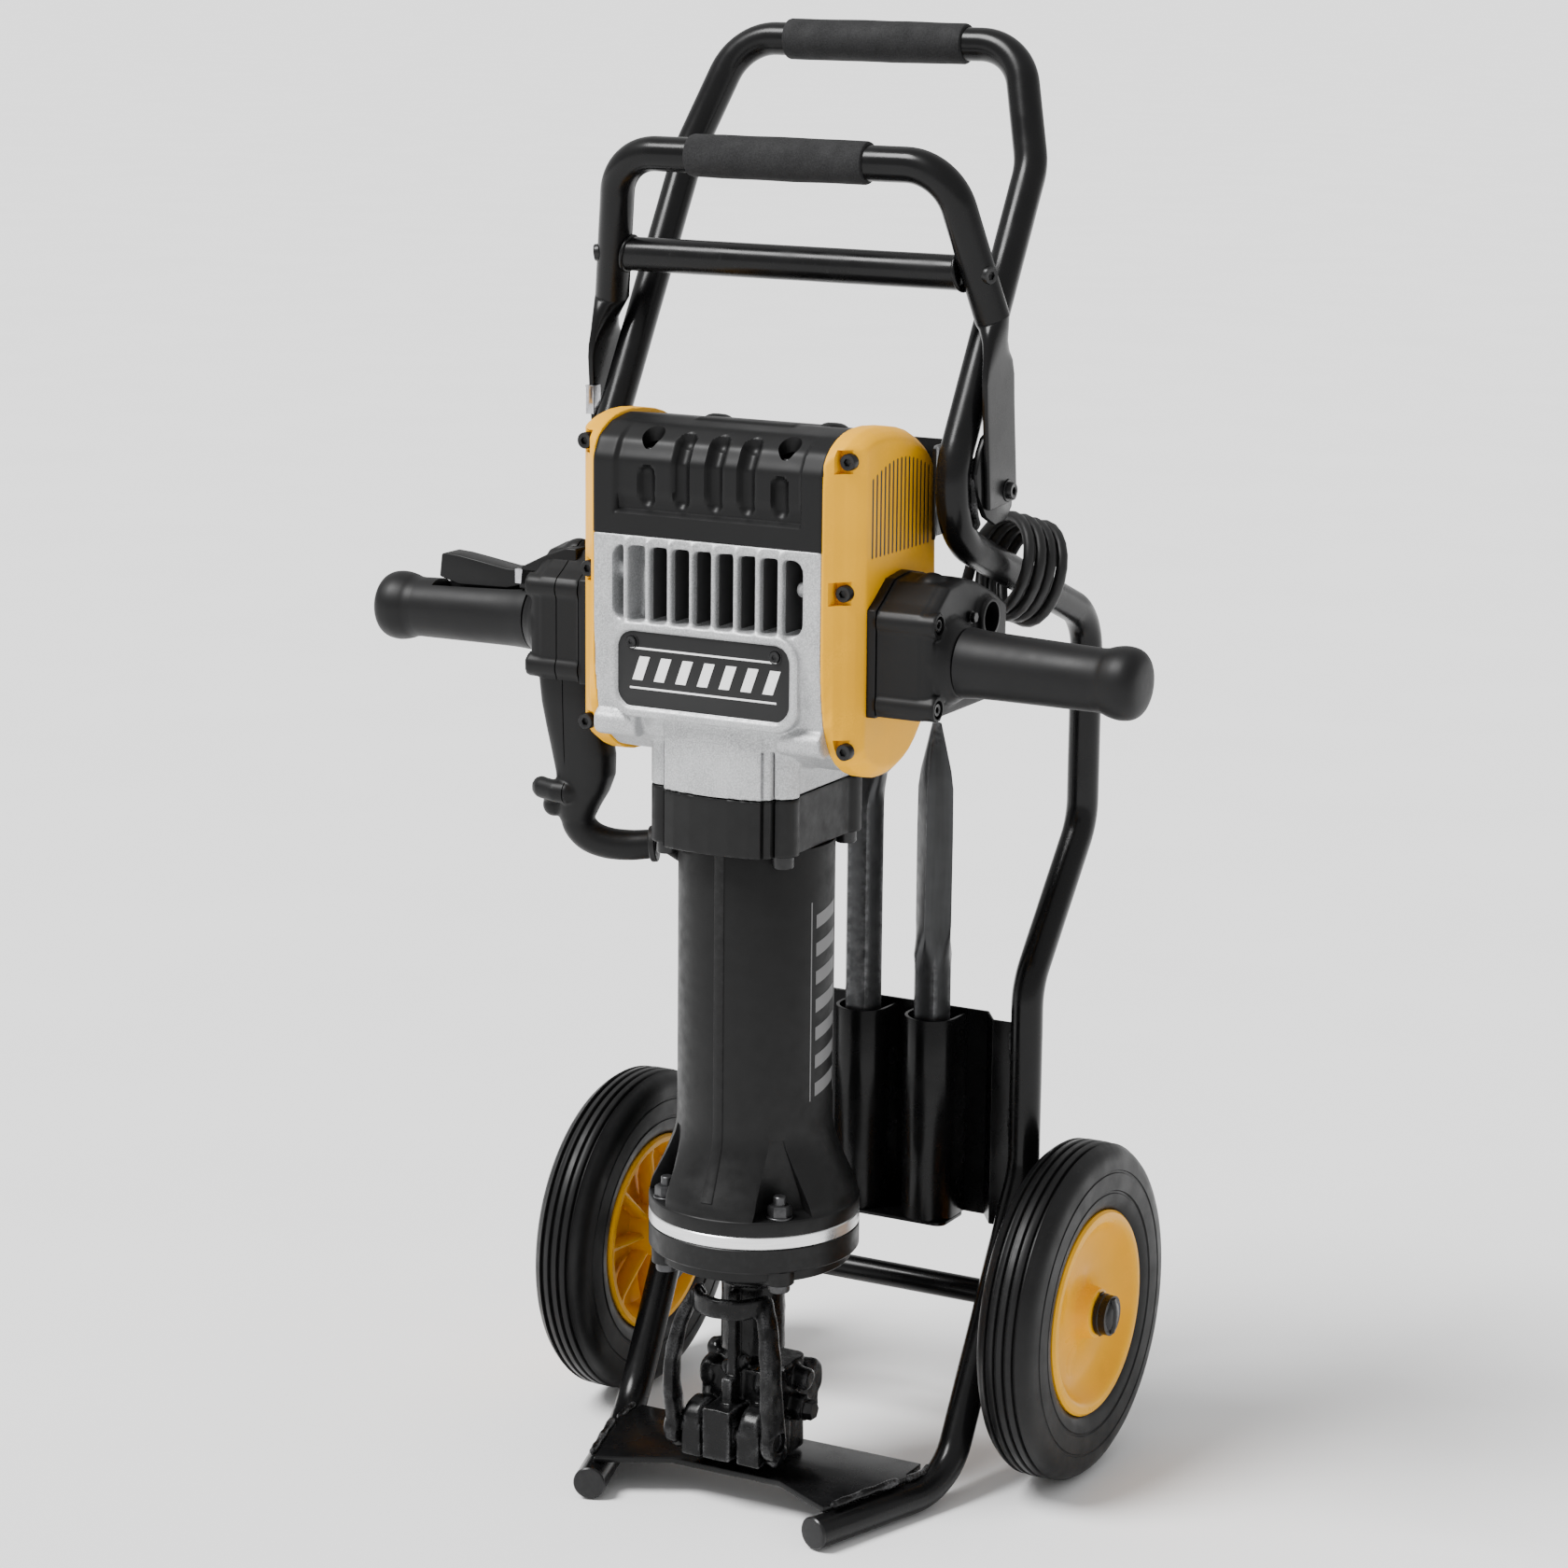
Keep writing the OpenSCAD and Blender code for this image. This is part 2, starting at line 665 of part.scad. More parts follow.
module axle() color([0.1, 0.1, 0.1]) x_rod(-231, 231, wheel_y, wheel_z, axle_r);

module axle_brackets() color([0.07, 0.07, 0.07]) both_sides() difference() {
    side_slab(143.5, 148.5) {
        polygon([[39.5, 151], [12.5, 102], [50, 116], [64, 153]]);
        translate([wheel_y, wheel_z]) circle(r = 20);
    }
    x_rod(140, 152, wheel_y, wheel_z, axle_r);
}

module axle_caps() color([0.06, 0.06, 0.06]) both_sides() difference() {
    x_rod(225.6, 235, wheel_y, wheel_z, 16);
    x_rod(220, 231, wheel_y, wheel_z, axle_r);
}

// A pocket of the chisel holder: a U of sheet whose ends run into the back plate.
module chisel_pocket(x) {
    outer = [for (a = [0 : -15 : -180]) [x + 22 * cos(a), chisel_y + 22 * sin(a)]];
    inner = [for (a = [-180 : 15 : 0]) [x + 19 * cos(a), chisel_y + 19 * sin(a)]];
    polygon(concat([[x + 22, 93.5]], outer, [[x - 22, 93.5], [x - 19, 93.5]], inner,
        [[x + 19, 93.5]]));
}

module chisel_holder() color([0.06, 0.06, 0.06]) {
    edge = [[-135.2, 72], [-118, 72], [-104, 92], [104, 92], [118, 72], [135.2, 72]];
    translate([0, 0, holder_z]) linear_extrude(holder_h) {
        polygon(concat(edge, [for (i = [5 : -1 : 0]) edge[i] + [0, 3]]));
        for (x = chisel_x) chisel_pocket(x);
    }
    translate([chisel_x[0] - 22, 52, holder_z - 3])
        cube([chisel_x[1] - chisel_x[0] + 44, 43, 3]);
}

module pivot_brackets() color([0.07, 0.07, 0.07]) both_sides() difference() {
    side_slab(160.8, 165.6) {
        polygon([[-78, 806], [-50, 772], [-14, 776], [-14, 806], [-46, 843], [-66, 838]]);
    }
    x_rod(150, 180, pivot_y, pivot_z, 5 + fit);
}

module back_rest() color([0.07, 0.07, 0.07]) {
    line = [[135, -80], [127, -62], [127, -36], [118, -26]];
    outer = concat(line, [for (i = [3 : -1 : 0]) [-line[i][0], line[i][1]]]);
    inner = [for (p = outer) [p[0] > 0 ? p[0] - 3 : p[0] + 3, p[1] < -30 ? p[1] : p[1] - 3]];
    translate([0, 0, 764]) linear_extrude(68)
        polygon(concat(outer, [for (i = [len(inner) - 1 : -1 : 0]) inner[i]]));
}

module rear_grip() color([0.12, 0.12, 0.12]) pipe([-77, 78, 1119], [77, 78, 1119], 15.5, tube_r);

module hoop_tube() color([0.07, 0.07, 0.07])
    bent_tube(hoop_route, hoop_bends, tube_r, tube_r - tube_wall);

module hoop_straps() color([0.07, 0.07, 0.07]) both_sides() difference() {
    side_slab(strap_x, strap_x + strap_t) polygon([
        [-58, 923.9], [-36, 929.9], [-26, 885], [-17, 788], [-60, 788], [-70, 884]
    ]);
    x_rod(150, 180, pivot_y, pivot_z, 5);
}

module hoop_cross_tube() color([0.07, 0.07, 0.07])
    pipe([-139.2, cross_tube_y, cross_tube_z], [139.2, cross_tube_y, cross_tube_z], 13, 11.2);

module hoop_grip() color([0.12, 0.12, 0.12])
    pipe([-75, -78, 1037.5], [75, -78, 1037.5], 16, tube_r);

module hoop_bolts() color([0.3, 0.3, 0.3]) both_sides() {
    x_rod(160, strap_x + strap_t, pivot_y, pivot_z, 5);
    x_rod(strap_x + strap_t, strap_x + strap_t + 5, pivot_y, pivot_z, 8);
    x_rod(169.7, 174, cross_tube_y, cross_tube_z, 7);
}

// Wheels
module tyre() {
    half = wheel_w / 2;
    translate([wheel_x, wheel_y, wheel_z]) rotate([0, 90, 0]) rotate_extrude() difference() {
        polygon([
            [82, -half + 5], [100, -half], [122, -half], [131, -half + 6], [135, -half + 14],
            [135, half - 14], [131, half - 6], [122, half], [100, half], [82, half - 5]
        ]);
        for (y = [-12, -4, 4, 12]) translate([133.5, y - 1.5]) square([3, 3]);
    }
}

module rim() {
    half = wheel_w / 2;
    translate([wheel_x, wheel_y, wheel_z]) rotate([0, 90, 0]) rotate_extrude() polygon([
        [axle_r + fit, -half - 1], [22, -half - 1], [24, -8], [60, 2], [72, -half + 5],
        [82, -half + 5], [82, half - 5], [76, half - 3], [68, 8], [26, 0], [22, half - 2],
        [axle_r + fit, half - 2]
    ]);
}

module tyre_left() color([0.12, 0.12, 0.12]) mirror([1, 0, 0]) tyre();

module tyre_right() color([0.12, 0.12, 0.12]) tyre();

module rim_left() color([0.99, 0.71, 0.08]) mirror([1, 0, 0]) rim();

module rim_right() color([0.99, 0.71, 0.08]) rim();

// Chisels
module chisel_blank(x, h) {
    translate([x, chisel_y, holder_z + 0.5]) cylinder(h = h, r = shank_af / 2 / cos(30), $fn = 6);
}

module bull_point() color([0.2, 0.2, 0.2]) {
    base = holder_z + 0.5;
    chisel_blank(chisel_x[1], 215);
    translate([chisel_x[1], chisel_y, base + 215])
        cylinder(h = chisel_len - 261, r = 16, $fn = 8);
    translate([chisel_x[1], chisel_y, base + chisel_len - 46])
        cylinder(h = 46, r1 = 16, r2 = 1.5, $fn = 8);
}

module flat_chisel() color([0.2, 0.2, 0.2]) {
    base = holder_z + 0.5;
    chisel_blank(chisel_x[0], 300);
    translate([chisel_x[0], chisel_y, base + 300]) rotate([90, 0, 0])
        translate([0, 0, -12]) linear_extrude(24) polygon([
            [-14, 0], [14, 0], [34, 50], [34, 100], [-34, 100], [-34, 50]
        ]);
    translate([chisel_x[0] - 34, chisel_y, base + 400]) rotate([90, 0, 90])
        linear_extrude(68) polygon([[-12, 0], [12, 0], [1, 20], [-1, 20]]);
}

housing_casting();
top_cover();
cover_left();
cover_right();
nameplate();
housing_screws();
gearbox_collar();
collar_bolts();
barrel();
flange_ring();
nose_flange();
flange_bolts();
nose_block();
retainer_latch();
latch_pin();
tool_sleeve();
handle_box_left();
handle_box_right();
grip_left();
grip_right();
trigger();
trigger_pin();
power_switch();
cord_boot();
cord_run();
cord_coil();
cord_plug();
field_stator();
armature();
ball_bearings();
brush_holders();
crank_gear();
con_rod();
wrist_pin();
piston();
cylinder_tube();
ram();
beat_piece();
frame_tube_left();
frame_tube_right();
foot_plate();
tube_caps();
axle();
axle_brackets();
axle_caps();
chisel_holder();
pivot_brackets();
back_rest();
rear_grip();
hoop_tube();
hoop_straps();
hoop_cross_tube();
hoop_grip();
hoop_bolts();
tyre_left();
tyre_right();
rim_left();
rim_right();
bull_point();
flat_chisel();
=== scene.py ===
"""A demolition hammer on its two-wheeled trolley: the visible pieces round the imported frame.

Points and sizes are in millimetres in the frame's own axes, and MM turns them into metres.
A solid here is a pair: its points, and its faces as tuples of point numbers.
"""

import math

import bmesh
import bpy
from mathutils import Matrix, Vector, noise


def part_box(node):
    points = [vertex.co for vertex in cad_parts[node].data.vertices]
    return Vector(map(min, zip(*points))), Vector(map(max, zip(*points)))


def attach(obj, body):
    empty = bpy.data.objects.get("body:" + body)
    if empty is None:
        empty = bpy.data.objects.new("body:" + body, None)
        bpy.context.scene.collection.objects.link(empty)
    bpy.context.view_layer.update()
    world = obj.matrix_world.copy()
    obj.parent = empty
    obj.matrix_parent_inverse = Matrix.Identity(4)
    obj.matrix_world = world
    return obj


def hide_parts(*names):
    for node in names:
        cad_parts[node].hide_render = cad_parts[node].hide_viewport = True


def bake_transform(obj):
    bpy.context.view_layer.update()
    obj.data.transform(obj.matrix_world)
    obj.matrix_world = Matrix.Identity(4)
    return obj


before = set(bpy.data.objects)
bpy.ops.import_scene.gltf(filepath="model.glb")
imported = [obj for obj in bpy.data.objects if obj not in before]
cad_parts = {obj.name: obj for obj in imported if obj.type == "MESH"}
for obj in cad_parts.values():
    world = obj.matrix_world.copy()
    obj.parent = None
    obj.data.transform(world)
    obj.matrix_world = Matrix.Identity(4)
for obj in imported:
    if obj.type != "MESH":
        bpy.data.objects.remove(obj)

MM = 0.001
X, Y, Z = Vector((1, 0, 0)), Vector((0, 1, 0)), Vector((0, 0, 1))
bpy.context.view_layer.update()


def box_mm(node):
    """Lowest and highest corner of a CAD node, in millimetres."""
    low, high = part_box(node)
    return low / MM, high / MM


BARREL = box_mm("barrel")
HOUSING = box_mm("housing_casting")
GRIP = box_mm("grip_right")
TYRE = box_mm("tyre_right")
HY = (BARREL[0].y + BARREL[1].y) / 2
HALF = HOUSING[1].x
GRIP_Y = HY - 18
GRIP_Z = (GRIP[0].z + GRIP[1].z) / 2 + 1.5
CHISEL_X, CHISEL_Y = (2, 64), 72
WHEEL = Vector(((TYRE[0].x + TYRE[1].x) / 2, (TYRE[0].y + TYRE[1].y) / 2, (TYRE[0].z + TYRE[1].z) / 2))
TUBE_R = 12.7


# ---------------------------------------------------------------- camera
CAMERA_AT = Vector((1.4508, -2.7328, 1.2325))  # metres
CAMERA_TURN = (28.51, 12.46, 0.55)  # yaw, pitch and roll in degrees
CAMERA_LENS = 92.96  # on a sensor 36 mm wide


def set_camera():
    """The camera stands in front, to the right of the hammer and above it."""
    yaw, pitch, roll = (math.radians(a) for a in CAMERA_TURN)
    ahead = Vector((-math.sin(yaw) * math.cos(pitch), math.cos(yaw) * math.cos(pitch), -math.sin(pitch)))
    side = Vector((math.cos(yaw), math.sin(yaw), 0))
    top = side.cross(ahead)
    right = side * math.cos(roll) + top * math.sin(roll)
    up = top * math.cos(roll) - side * math.sin(roll)
    data = bpy.data.cameras.new("camera")
    data.sensor_width = 36
    data.lens = CAMERA_LENS
    camera = bpy.data.objects.new("camera", data)
    bpy.context.scene.collection.objects.link(camera)
    turn = Matrix((right, up, -ahead)).transposed().to_4x4()
    camera.matrix_world = Matrix.Translation(CAMERA_AT) @ turn
    bpy.context.scene.camera = camera


# ---------------------------------------------------------------- solids
def joined(*solids):
    verts, faces = [], []
    for points, polygons in solids:
        base = len(verts)
        verts += points
        faces += [tuple(i + base for i in face) for face in polygons]
    return verts, faces


def moved(solid, change):
    """The solid with change(point) put in place of each point."""
    return [change(Vector(p)) for p in solid[0]], solid[1]


def mirrored(solid):
    return moved(solid, lambda p: Vector((-p.x, p.y, p.z)))


def both_sides(solid):
    return joined(solid, mirrored(solid))


def loft(rings, loop=False):
    """A closed skin over rings that all have the same number of points."""
    count = len(rings[0])
    verts = [Vector(p) for ring in rings for p in ring]
    faces = []
    for i in range(len(rings) if loop else len(rings) - 1):
        a = i * count
        b = (i + 1) % len(rings) * count
        for k in range(count):
            n = (k + 1) % count
            faces.append((a + k, a + n, b + n, b + k))
    if not loop:
        faces.append(tuple(range(count - 1, -1, -1)))
        faces.append(tuple(range(len(verts) - count, len(verts))))
    return verts, faces


def cross_axes(axis):
    """Two directions across an axis."""
    axis = Vector(axis).normalized()
    other = Z if abs(axis.z) < 0.9 else X
    u = other.cross(axis).normalized()
    return u, axis.cross(u)


def degrees(first, last, step):
    """Angles from first to last in steps of whole degrees, given in radians."""
    return [math.radians(a) for a in range(first, last + (1 if step > 0 else -1), step)]


def oval(centre, u, v, a, b, power=2.0, count=32, start=0.0):
    """A ring of points on a superellipse: power 2 is an ellipse, a high power a box."""
    ring = []
    for k in range(count):
        t = math.tau * k / count + start
        c, s = math.cos(t), math.sin(t)
        x = math.copysign(abs(c) ** (2 / power), c) * a
        y = math.copysign(abs(s) ** (2 / power), s) * b
        ring.append(Vector(centre) + u * x + v * y)
    return ring


def lathe(profile, origin, axis, steps=96, closed=True):
    """Turns (radius, distance along the axis) points round an axis. A profile that isn't
    closed starts and ends on the axis."""
    axis = Vector(axis).normalized()
    u, v = cross_axes(axis)
    origin = Vector(origin)
    rings = []
    for k in range(steps):
        t = math.tau * k / steps
        out = u * math.cos(t) + v * math.sin(t)
        rings.append([origin + axis * d + out * r for r, d in profile])
    if closed:
        return loft(rings, loop=True)
    verts = [p for ring in rings for p in ring]
    count = len(profile)
    faces = []
    for i in range(steps):
        a = i * count
        b = (i + 1) % steps * count
        faces += [(a + k, a + k + 1, b + k + 1, b + k) for k in range(count - 1)]
    return verts, faces


def sweep(path, size, count=32, up=None):
    """A round or oval section carried along a path without twisting. size is a radius, or a
    function of the share of the way along. It gives a radius, or two half sizes and, if the
    section isn't an ellipse, the power of its superellipse."""
    path = [Vector(p) for p in path]
    rings = []
    before = None
    for i, point in enumerate(path):
        ahead = (path[min(i + 1, len(path) - 1)] - path[max(i - 1, 0)]).normalized()
        if before is None:
            u = Vector(up).cross(ahead).normalized() if up else cross_axes(ahead)[0]
        else:
            u = (before - ahead * before.dot(ahead)).normalized()
        before = u
        v = ahead.cross(u)
        share = i / (len(path) - 1)
        s = size(share) if callable(size) else size
        a, b = s[:2] if isinstance(s, tuple) else (s, s)
        power = s[2] if isinstance(s, tuple) and len(s) > 2 else 2.0
        rings.append(oval(point, u, v, a, b, power, count))
    return loft(rings)


def curve_through(points, steps=8):
    """A smooth path through the points."""
    points = [Vector(p) for p in points]
    ends = [points[0] * 2 - points[1]] + points + [points[-1] * 2 - points[-2]]
    path = []
    for i in range(1, len(ends) - 2):
        a, b, c, d = ends[i - 1:i + 3]
        for k in range(steps):
            t = k / steps
            path.append(0.5 * (2 * b + (c - a) * t + (2 * a - 5 * b + 4 * c - d) * t * t
                               + (3 * b - a - 3 * c + d) * t ** 3))
    path.append(points[-1])
    return path


def bent_path(corners, bends, step=7.0):
    """The middle line of a bent tube: straights joined by arcs of the given radii."""
    corners = [Vector(c) for c in corners]
    path = [corners[0]]
    for i in range(1, len(corners) - 1):
        before = (corners[i] - corners[i - 1]).normalized()
        after = (corners[i + 1] - corners[i]).normalized()
        angle = before.angle(after)
        inward = (after - before * math.cos(angle)).normalized()
        start = corners[i] - before * bends[i] * math.tan(angle / 2)
        middle = start + inward * bends[i]
        count = max(2, round(math.degrees(angle) / step))
        for k in range(count + 1):
            t = angle * k / count
            path.append(middle - inward * bends[i] * math.cos(t) + before * bends[i] * math.sin(t))
    path.append(corners[-1])
    return path


def rod(start, end, r0, r1=None, sides=40, edge=0.0):
    """A straight round bar or cone, with its end edges broken by edge."""
    start, end = Vector(start), Vector(end)
    r1 = r0 if r1 is None else r1
    length = (end - start).length
    profile = [(0, 0), (r0 - edge, 0), (r0, edge), (r1, length - edge), (r1 - edge, length), (0, length)]
    return lathe(profile, start, end - start, sides, closed=False)


def bar(x0, x1, y, z, radius, sides=40, edge=0.0):
    """A round bar along X."""
    return rod((x0, y, z), (x1, y, z), radius, sides=sides, edge=edge)


def post(x, y, z0, z1, radius, sides=40, edge=0.0):
    """A round bar along Z."""
    return rod((x, y, z0), (x, y, z1), radius, sides=sides, edge=edge)


def pipe(start, end, outer, inner, edge=1.0, steps=48):
    start, end = Vector(start), Vector(end)
    length = (end - start).length
    profile = [(inner, 0), (outer - edge, 0), (outer, edge), (outer, length - edge),
               (outer - edge, length), (inner, length)]
    return lathe(profile, start, end - start, steps)


def block(low, high):
    low, high = Vector(low), Vector(high)
    verts = [Vector((x, y, z)) for z in (low.z, high.z) for y in (low.y, high.y) for x in (low.x, high.x)]
    faces = [(0, 2, 3, 1), (4, 5, 7, 6), (0, 1, 5, 4), (2, 6, 7, 3), (0, 4, 6, 2), (1, 3, 7, 5)]
    return verts, faces


def slab(outline, plane, start, end):
    """An outline in the plane "xy", "xz" or "yz", made thick along the third axis."""
    place = {
        "xy": lambda a, b, t: Vector((a, b, t)),
        "xz": lambda a, b, t: Vector((a, t, b)),
        "yz": lambda a, b, t: Vector((t, a, b)),
    }[plane]
    return loft([[place(a, b, t) for a, b in outline] for t in (start, end)])


def round_rect(width, height, radius, x=0.0, y=0.0, steps=6):
    """The outline of a rectangle with round corners."""
    points = []
    for sx, sy, first in ((1, 1, 0), (-1, 1, 90), (-1, -1, 180), (1, -1, 270)):
        for k in range(steps + 1):
            t = math.radians(first + 90 * k / steps)
            points.append((x + sx * (width / 2 - radius) + radius * math.cos(t),
                           y + sy * (height / 2 - radius) + radius * math.sin(t)))
    return points


def scaled_outline(outline, grow):
    """The outline moved outwards by grow, or inwards where grow is negative."""
    count = len(outline)
    area = sum(outline[i][0] * outline[(i + 1) % count][1] - outline[(i + 1) % count][0] * outline[i][1]
               for i in range(count))
    turn = 1 if area > 0 else -1
    points = []
    for i in range(count):
        a, b, c = (Vector(outline[j % count]) for j in (i - 1, i, i + 1))
        d = (b - a).normalized() + (c - b).normalized()
        out = Vector((d.y, -d.x)).normalized() * turn
        points.append(tuple(b + out * grow))
    return points


def smooth_outline(outline, rounds=2):
    """Cuts the corners of an outline, over and over."""
    for _ in range(rounds):
        cut = []
        for i, a in enumerate(outline):
            b = outline[(i + 1) % len(outline)]
            cut.append((a[0] * 0.75 + b[0] * 0.25, a[1] * 0.75 + b[1] * 0.25))
            cut.append((a[0] * 0.25 + b[0] * 0.75, a[1] * 0.25 + b[1] * 0.75))
        outline = cut
    return outline


# ---------------------------------------------------------------- mesh work
def to_object(solid, name="work"):
    """A mesh object in metres, with its doubled points merged and its faces outwards."""
    mesh = bpy.data.meshes.new(name)
    mesh.from_pydata([p * MM for p in solid[0]], [], solid[1])
    work = bmesh.new()
    work.from_mesh(mesh)
    bmesh.ops.remove_doubles(work, verts=work.verts, dist=2e-6)
    bmesh.ops.dissolve_degenerate(work, edges=work.edges, dist=1e-7)
    bmesh.ops.recalc_face_normals(work, faces=work.faces)
    work.to_mesh(mesh)
    work.free()
    obj = bpy.data.objects.new(name, mesh)
    bpy.context.scene.collection.objects.link(obj)
    return obj


def to_solid(obj):
    """The object's finished mesh as a solid. The object is removed."""
    graph = bpy.context.evaluated_depsgraph_get()
    mesh = bpy.data.meshes.new_from_object(obj.evaluated_get(graph))
    solid = [v.co / MM for v in mesh.vertices], [tuple(p.vertices) for p in mesh.polygons]
    bpy.data.meshes.remove(mesh)
    discard(obj)
    return solid


def discard(obj):
    mesh = obj.data
    bpy.data.objects.remove(obj)
    bpy.data.meshes.remove(mesh)


def carved(solid, *cutters, operation="DIFFERENCE"):
    body = to_object(solid)
    tools = [to_object(c) for c in cutters]
    for tool in tools:
        step = body.modifiers.new("cut", "BOOLEAN")
        step.operation = operation
        step.solver = "EXACT"
        step.object = tool
    result = to_solid(body)
    for tool in tools:
        discard(tool)
    return result


def bevelled(solid, width, segments=2, angle=30):
    body = to_object(solid)
    step = body.modifiers.new("edges", "BEVEL")
    step.width = width * MM
    step.segments = segments
    step.limit_method = "ANGLE"
    step.angle_limit = math.radians(angle)
    step.use_clamp_overlap = True
    return to_solid(body)


def cast(solid, voxel=1.4, smooth=4, keep=1.0):
    """Melts overlapping solids into one skin with soft inner and outer corners."""
    body = to_object(solid)
    step = body.modifiers.new("voxels", "REMESH")
    step.mode = "VOXEL"
    step.voxel_size = voxel * MM
    soft = body.modifiers.new("soften", "SMOOTH")
    soft.factor = 0.5
    soft.iterations = smooth
    if keep < 1:
        thin = body.modifiers.new("thin", "DECIMATE")
        thin.ratio = keep
    return to_solid(body)


def piece(name, solid, look, body, *stands_for, angle=38):
    """A finished piece of the object, riding on a body."""
    obj = to_object(solid, name)
    material, finish = LOOKS[look]
    obj.data.materials.append(material)
    obj.data.shade_smooth()
    obj.data.set_sharp_from_angle(angle=math.radians(angle))
    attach(obj, body)
    if stands_for:
        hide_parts(*stands_for)
    return obj


# ---------------------------------------------------------------- fasteners and welds
def socket_screw(origin, axis, radius, height, key=0.5):
    """A cap screw's head with a hexagon socket. origin is under the head."""
    axis = Vector(axis).normalized()
    u, v = cross_axes(axis)
    origin = Vector(origin)

    def level(r, d, hexagon=False):
        ring = []
        for k in range(36):
            t = math.tau * k / 36
            reach = r
            if hexagon:
                reach = r * math.cos(math.pi / 6) / math.cos(t % (math.pi / 3) - math.pi / 6)
            ring.append(origin + axis * d + (u * math.cos(t) + v * math.sin(t)) * reach)
        return ring

    bottom = height * 0.45
    return loft([level(radius, -1), level(radius, height - radius * 0.14), level(radius * 0.9, height),
                 level(radius * (key + 0.12), height), level(radius * key, height - 0.3, True),
                 level(radius * key, bottom, True), level(0.1, bottom - 0.3)])


def hex_head(origin, axis, radius, height, washer=0.0, stud=0.0):
    """A hexagon nut or bolt head with chamfered corners, its washer and its stud."""
    axis = Vector(axis).normalized()
    u, v = cross_axes(axis)
    origin = Vector(origin)
    rings = []
    for scale, d in ((1, 0), (1, height * 0.82), (0.88, height)):
        ring = []
        for k in range(6):
            t = math.tau * k / 6
            ring.append(origin + axis * (washer + d) + (u * math.cos(t) + v * math.sin(t)) * radius * scale)
        rings.append(ring)
    parts = [loft(rings)]
    if washer:
        parts.append(rod(origin, origin + axis * washer, radius * 1.12, edge=0.3))
    if stud:
        start = origin + axis * (washer + height - 1)
        parts.append(rod(start, start + axis * (stud + 1), radius * 0.5, edge=0.7))
    return joined(*parts)


def weld_bead(path, radius, seed):
    """A run of weld: a round bead whose ripples follow each other."""
    pitch = 3.2
    path = [Vector(p) for p in path]
    length = sum((b - a).length for a, b in zip(path, path[1:]))
    count = max(12, int(length / 0.8))
    fine = []
    for i in range(count + 1):
        along = i / count * (len(path) - 1)
        k = min(int(along), len(path) - 2)
        fine.append(path[k].lerp(path[k + 1], along - k))

    def size(share):
        ripple = (share * length / pitch) % 1.0
        wander = noise.noise(Vector((share * length * 0.12, seed, 0.3)))
        r = radius * (0.78 + 0.22 * math.sqrt(1 - (ripple - 0.3) ** 2) + 0.25 * wander)
        close = min(share, 1 - share) * length / radius
        return r * min(1.0, 0.35 + 0.65 * close)

    return sweep(fine, size, 14)


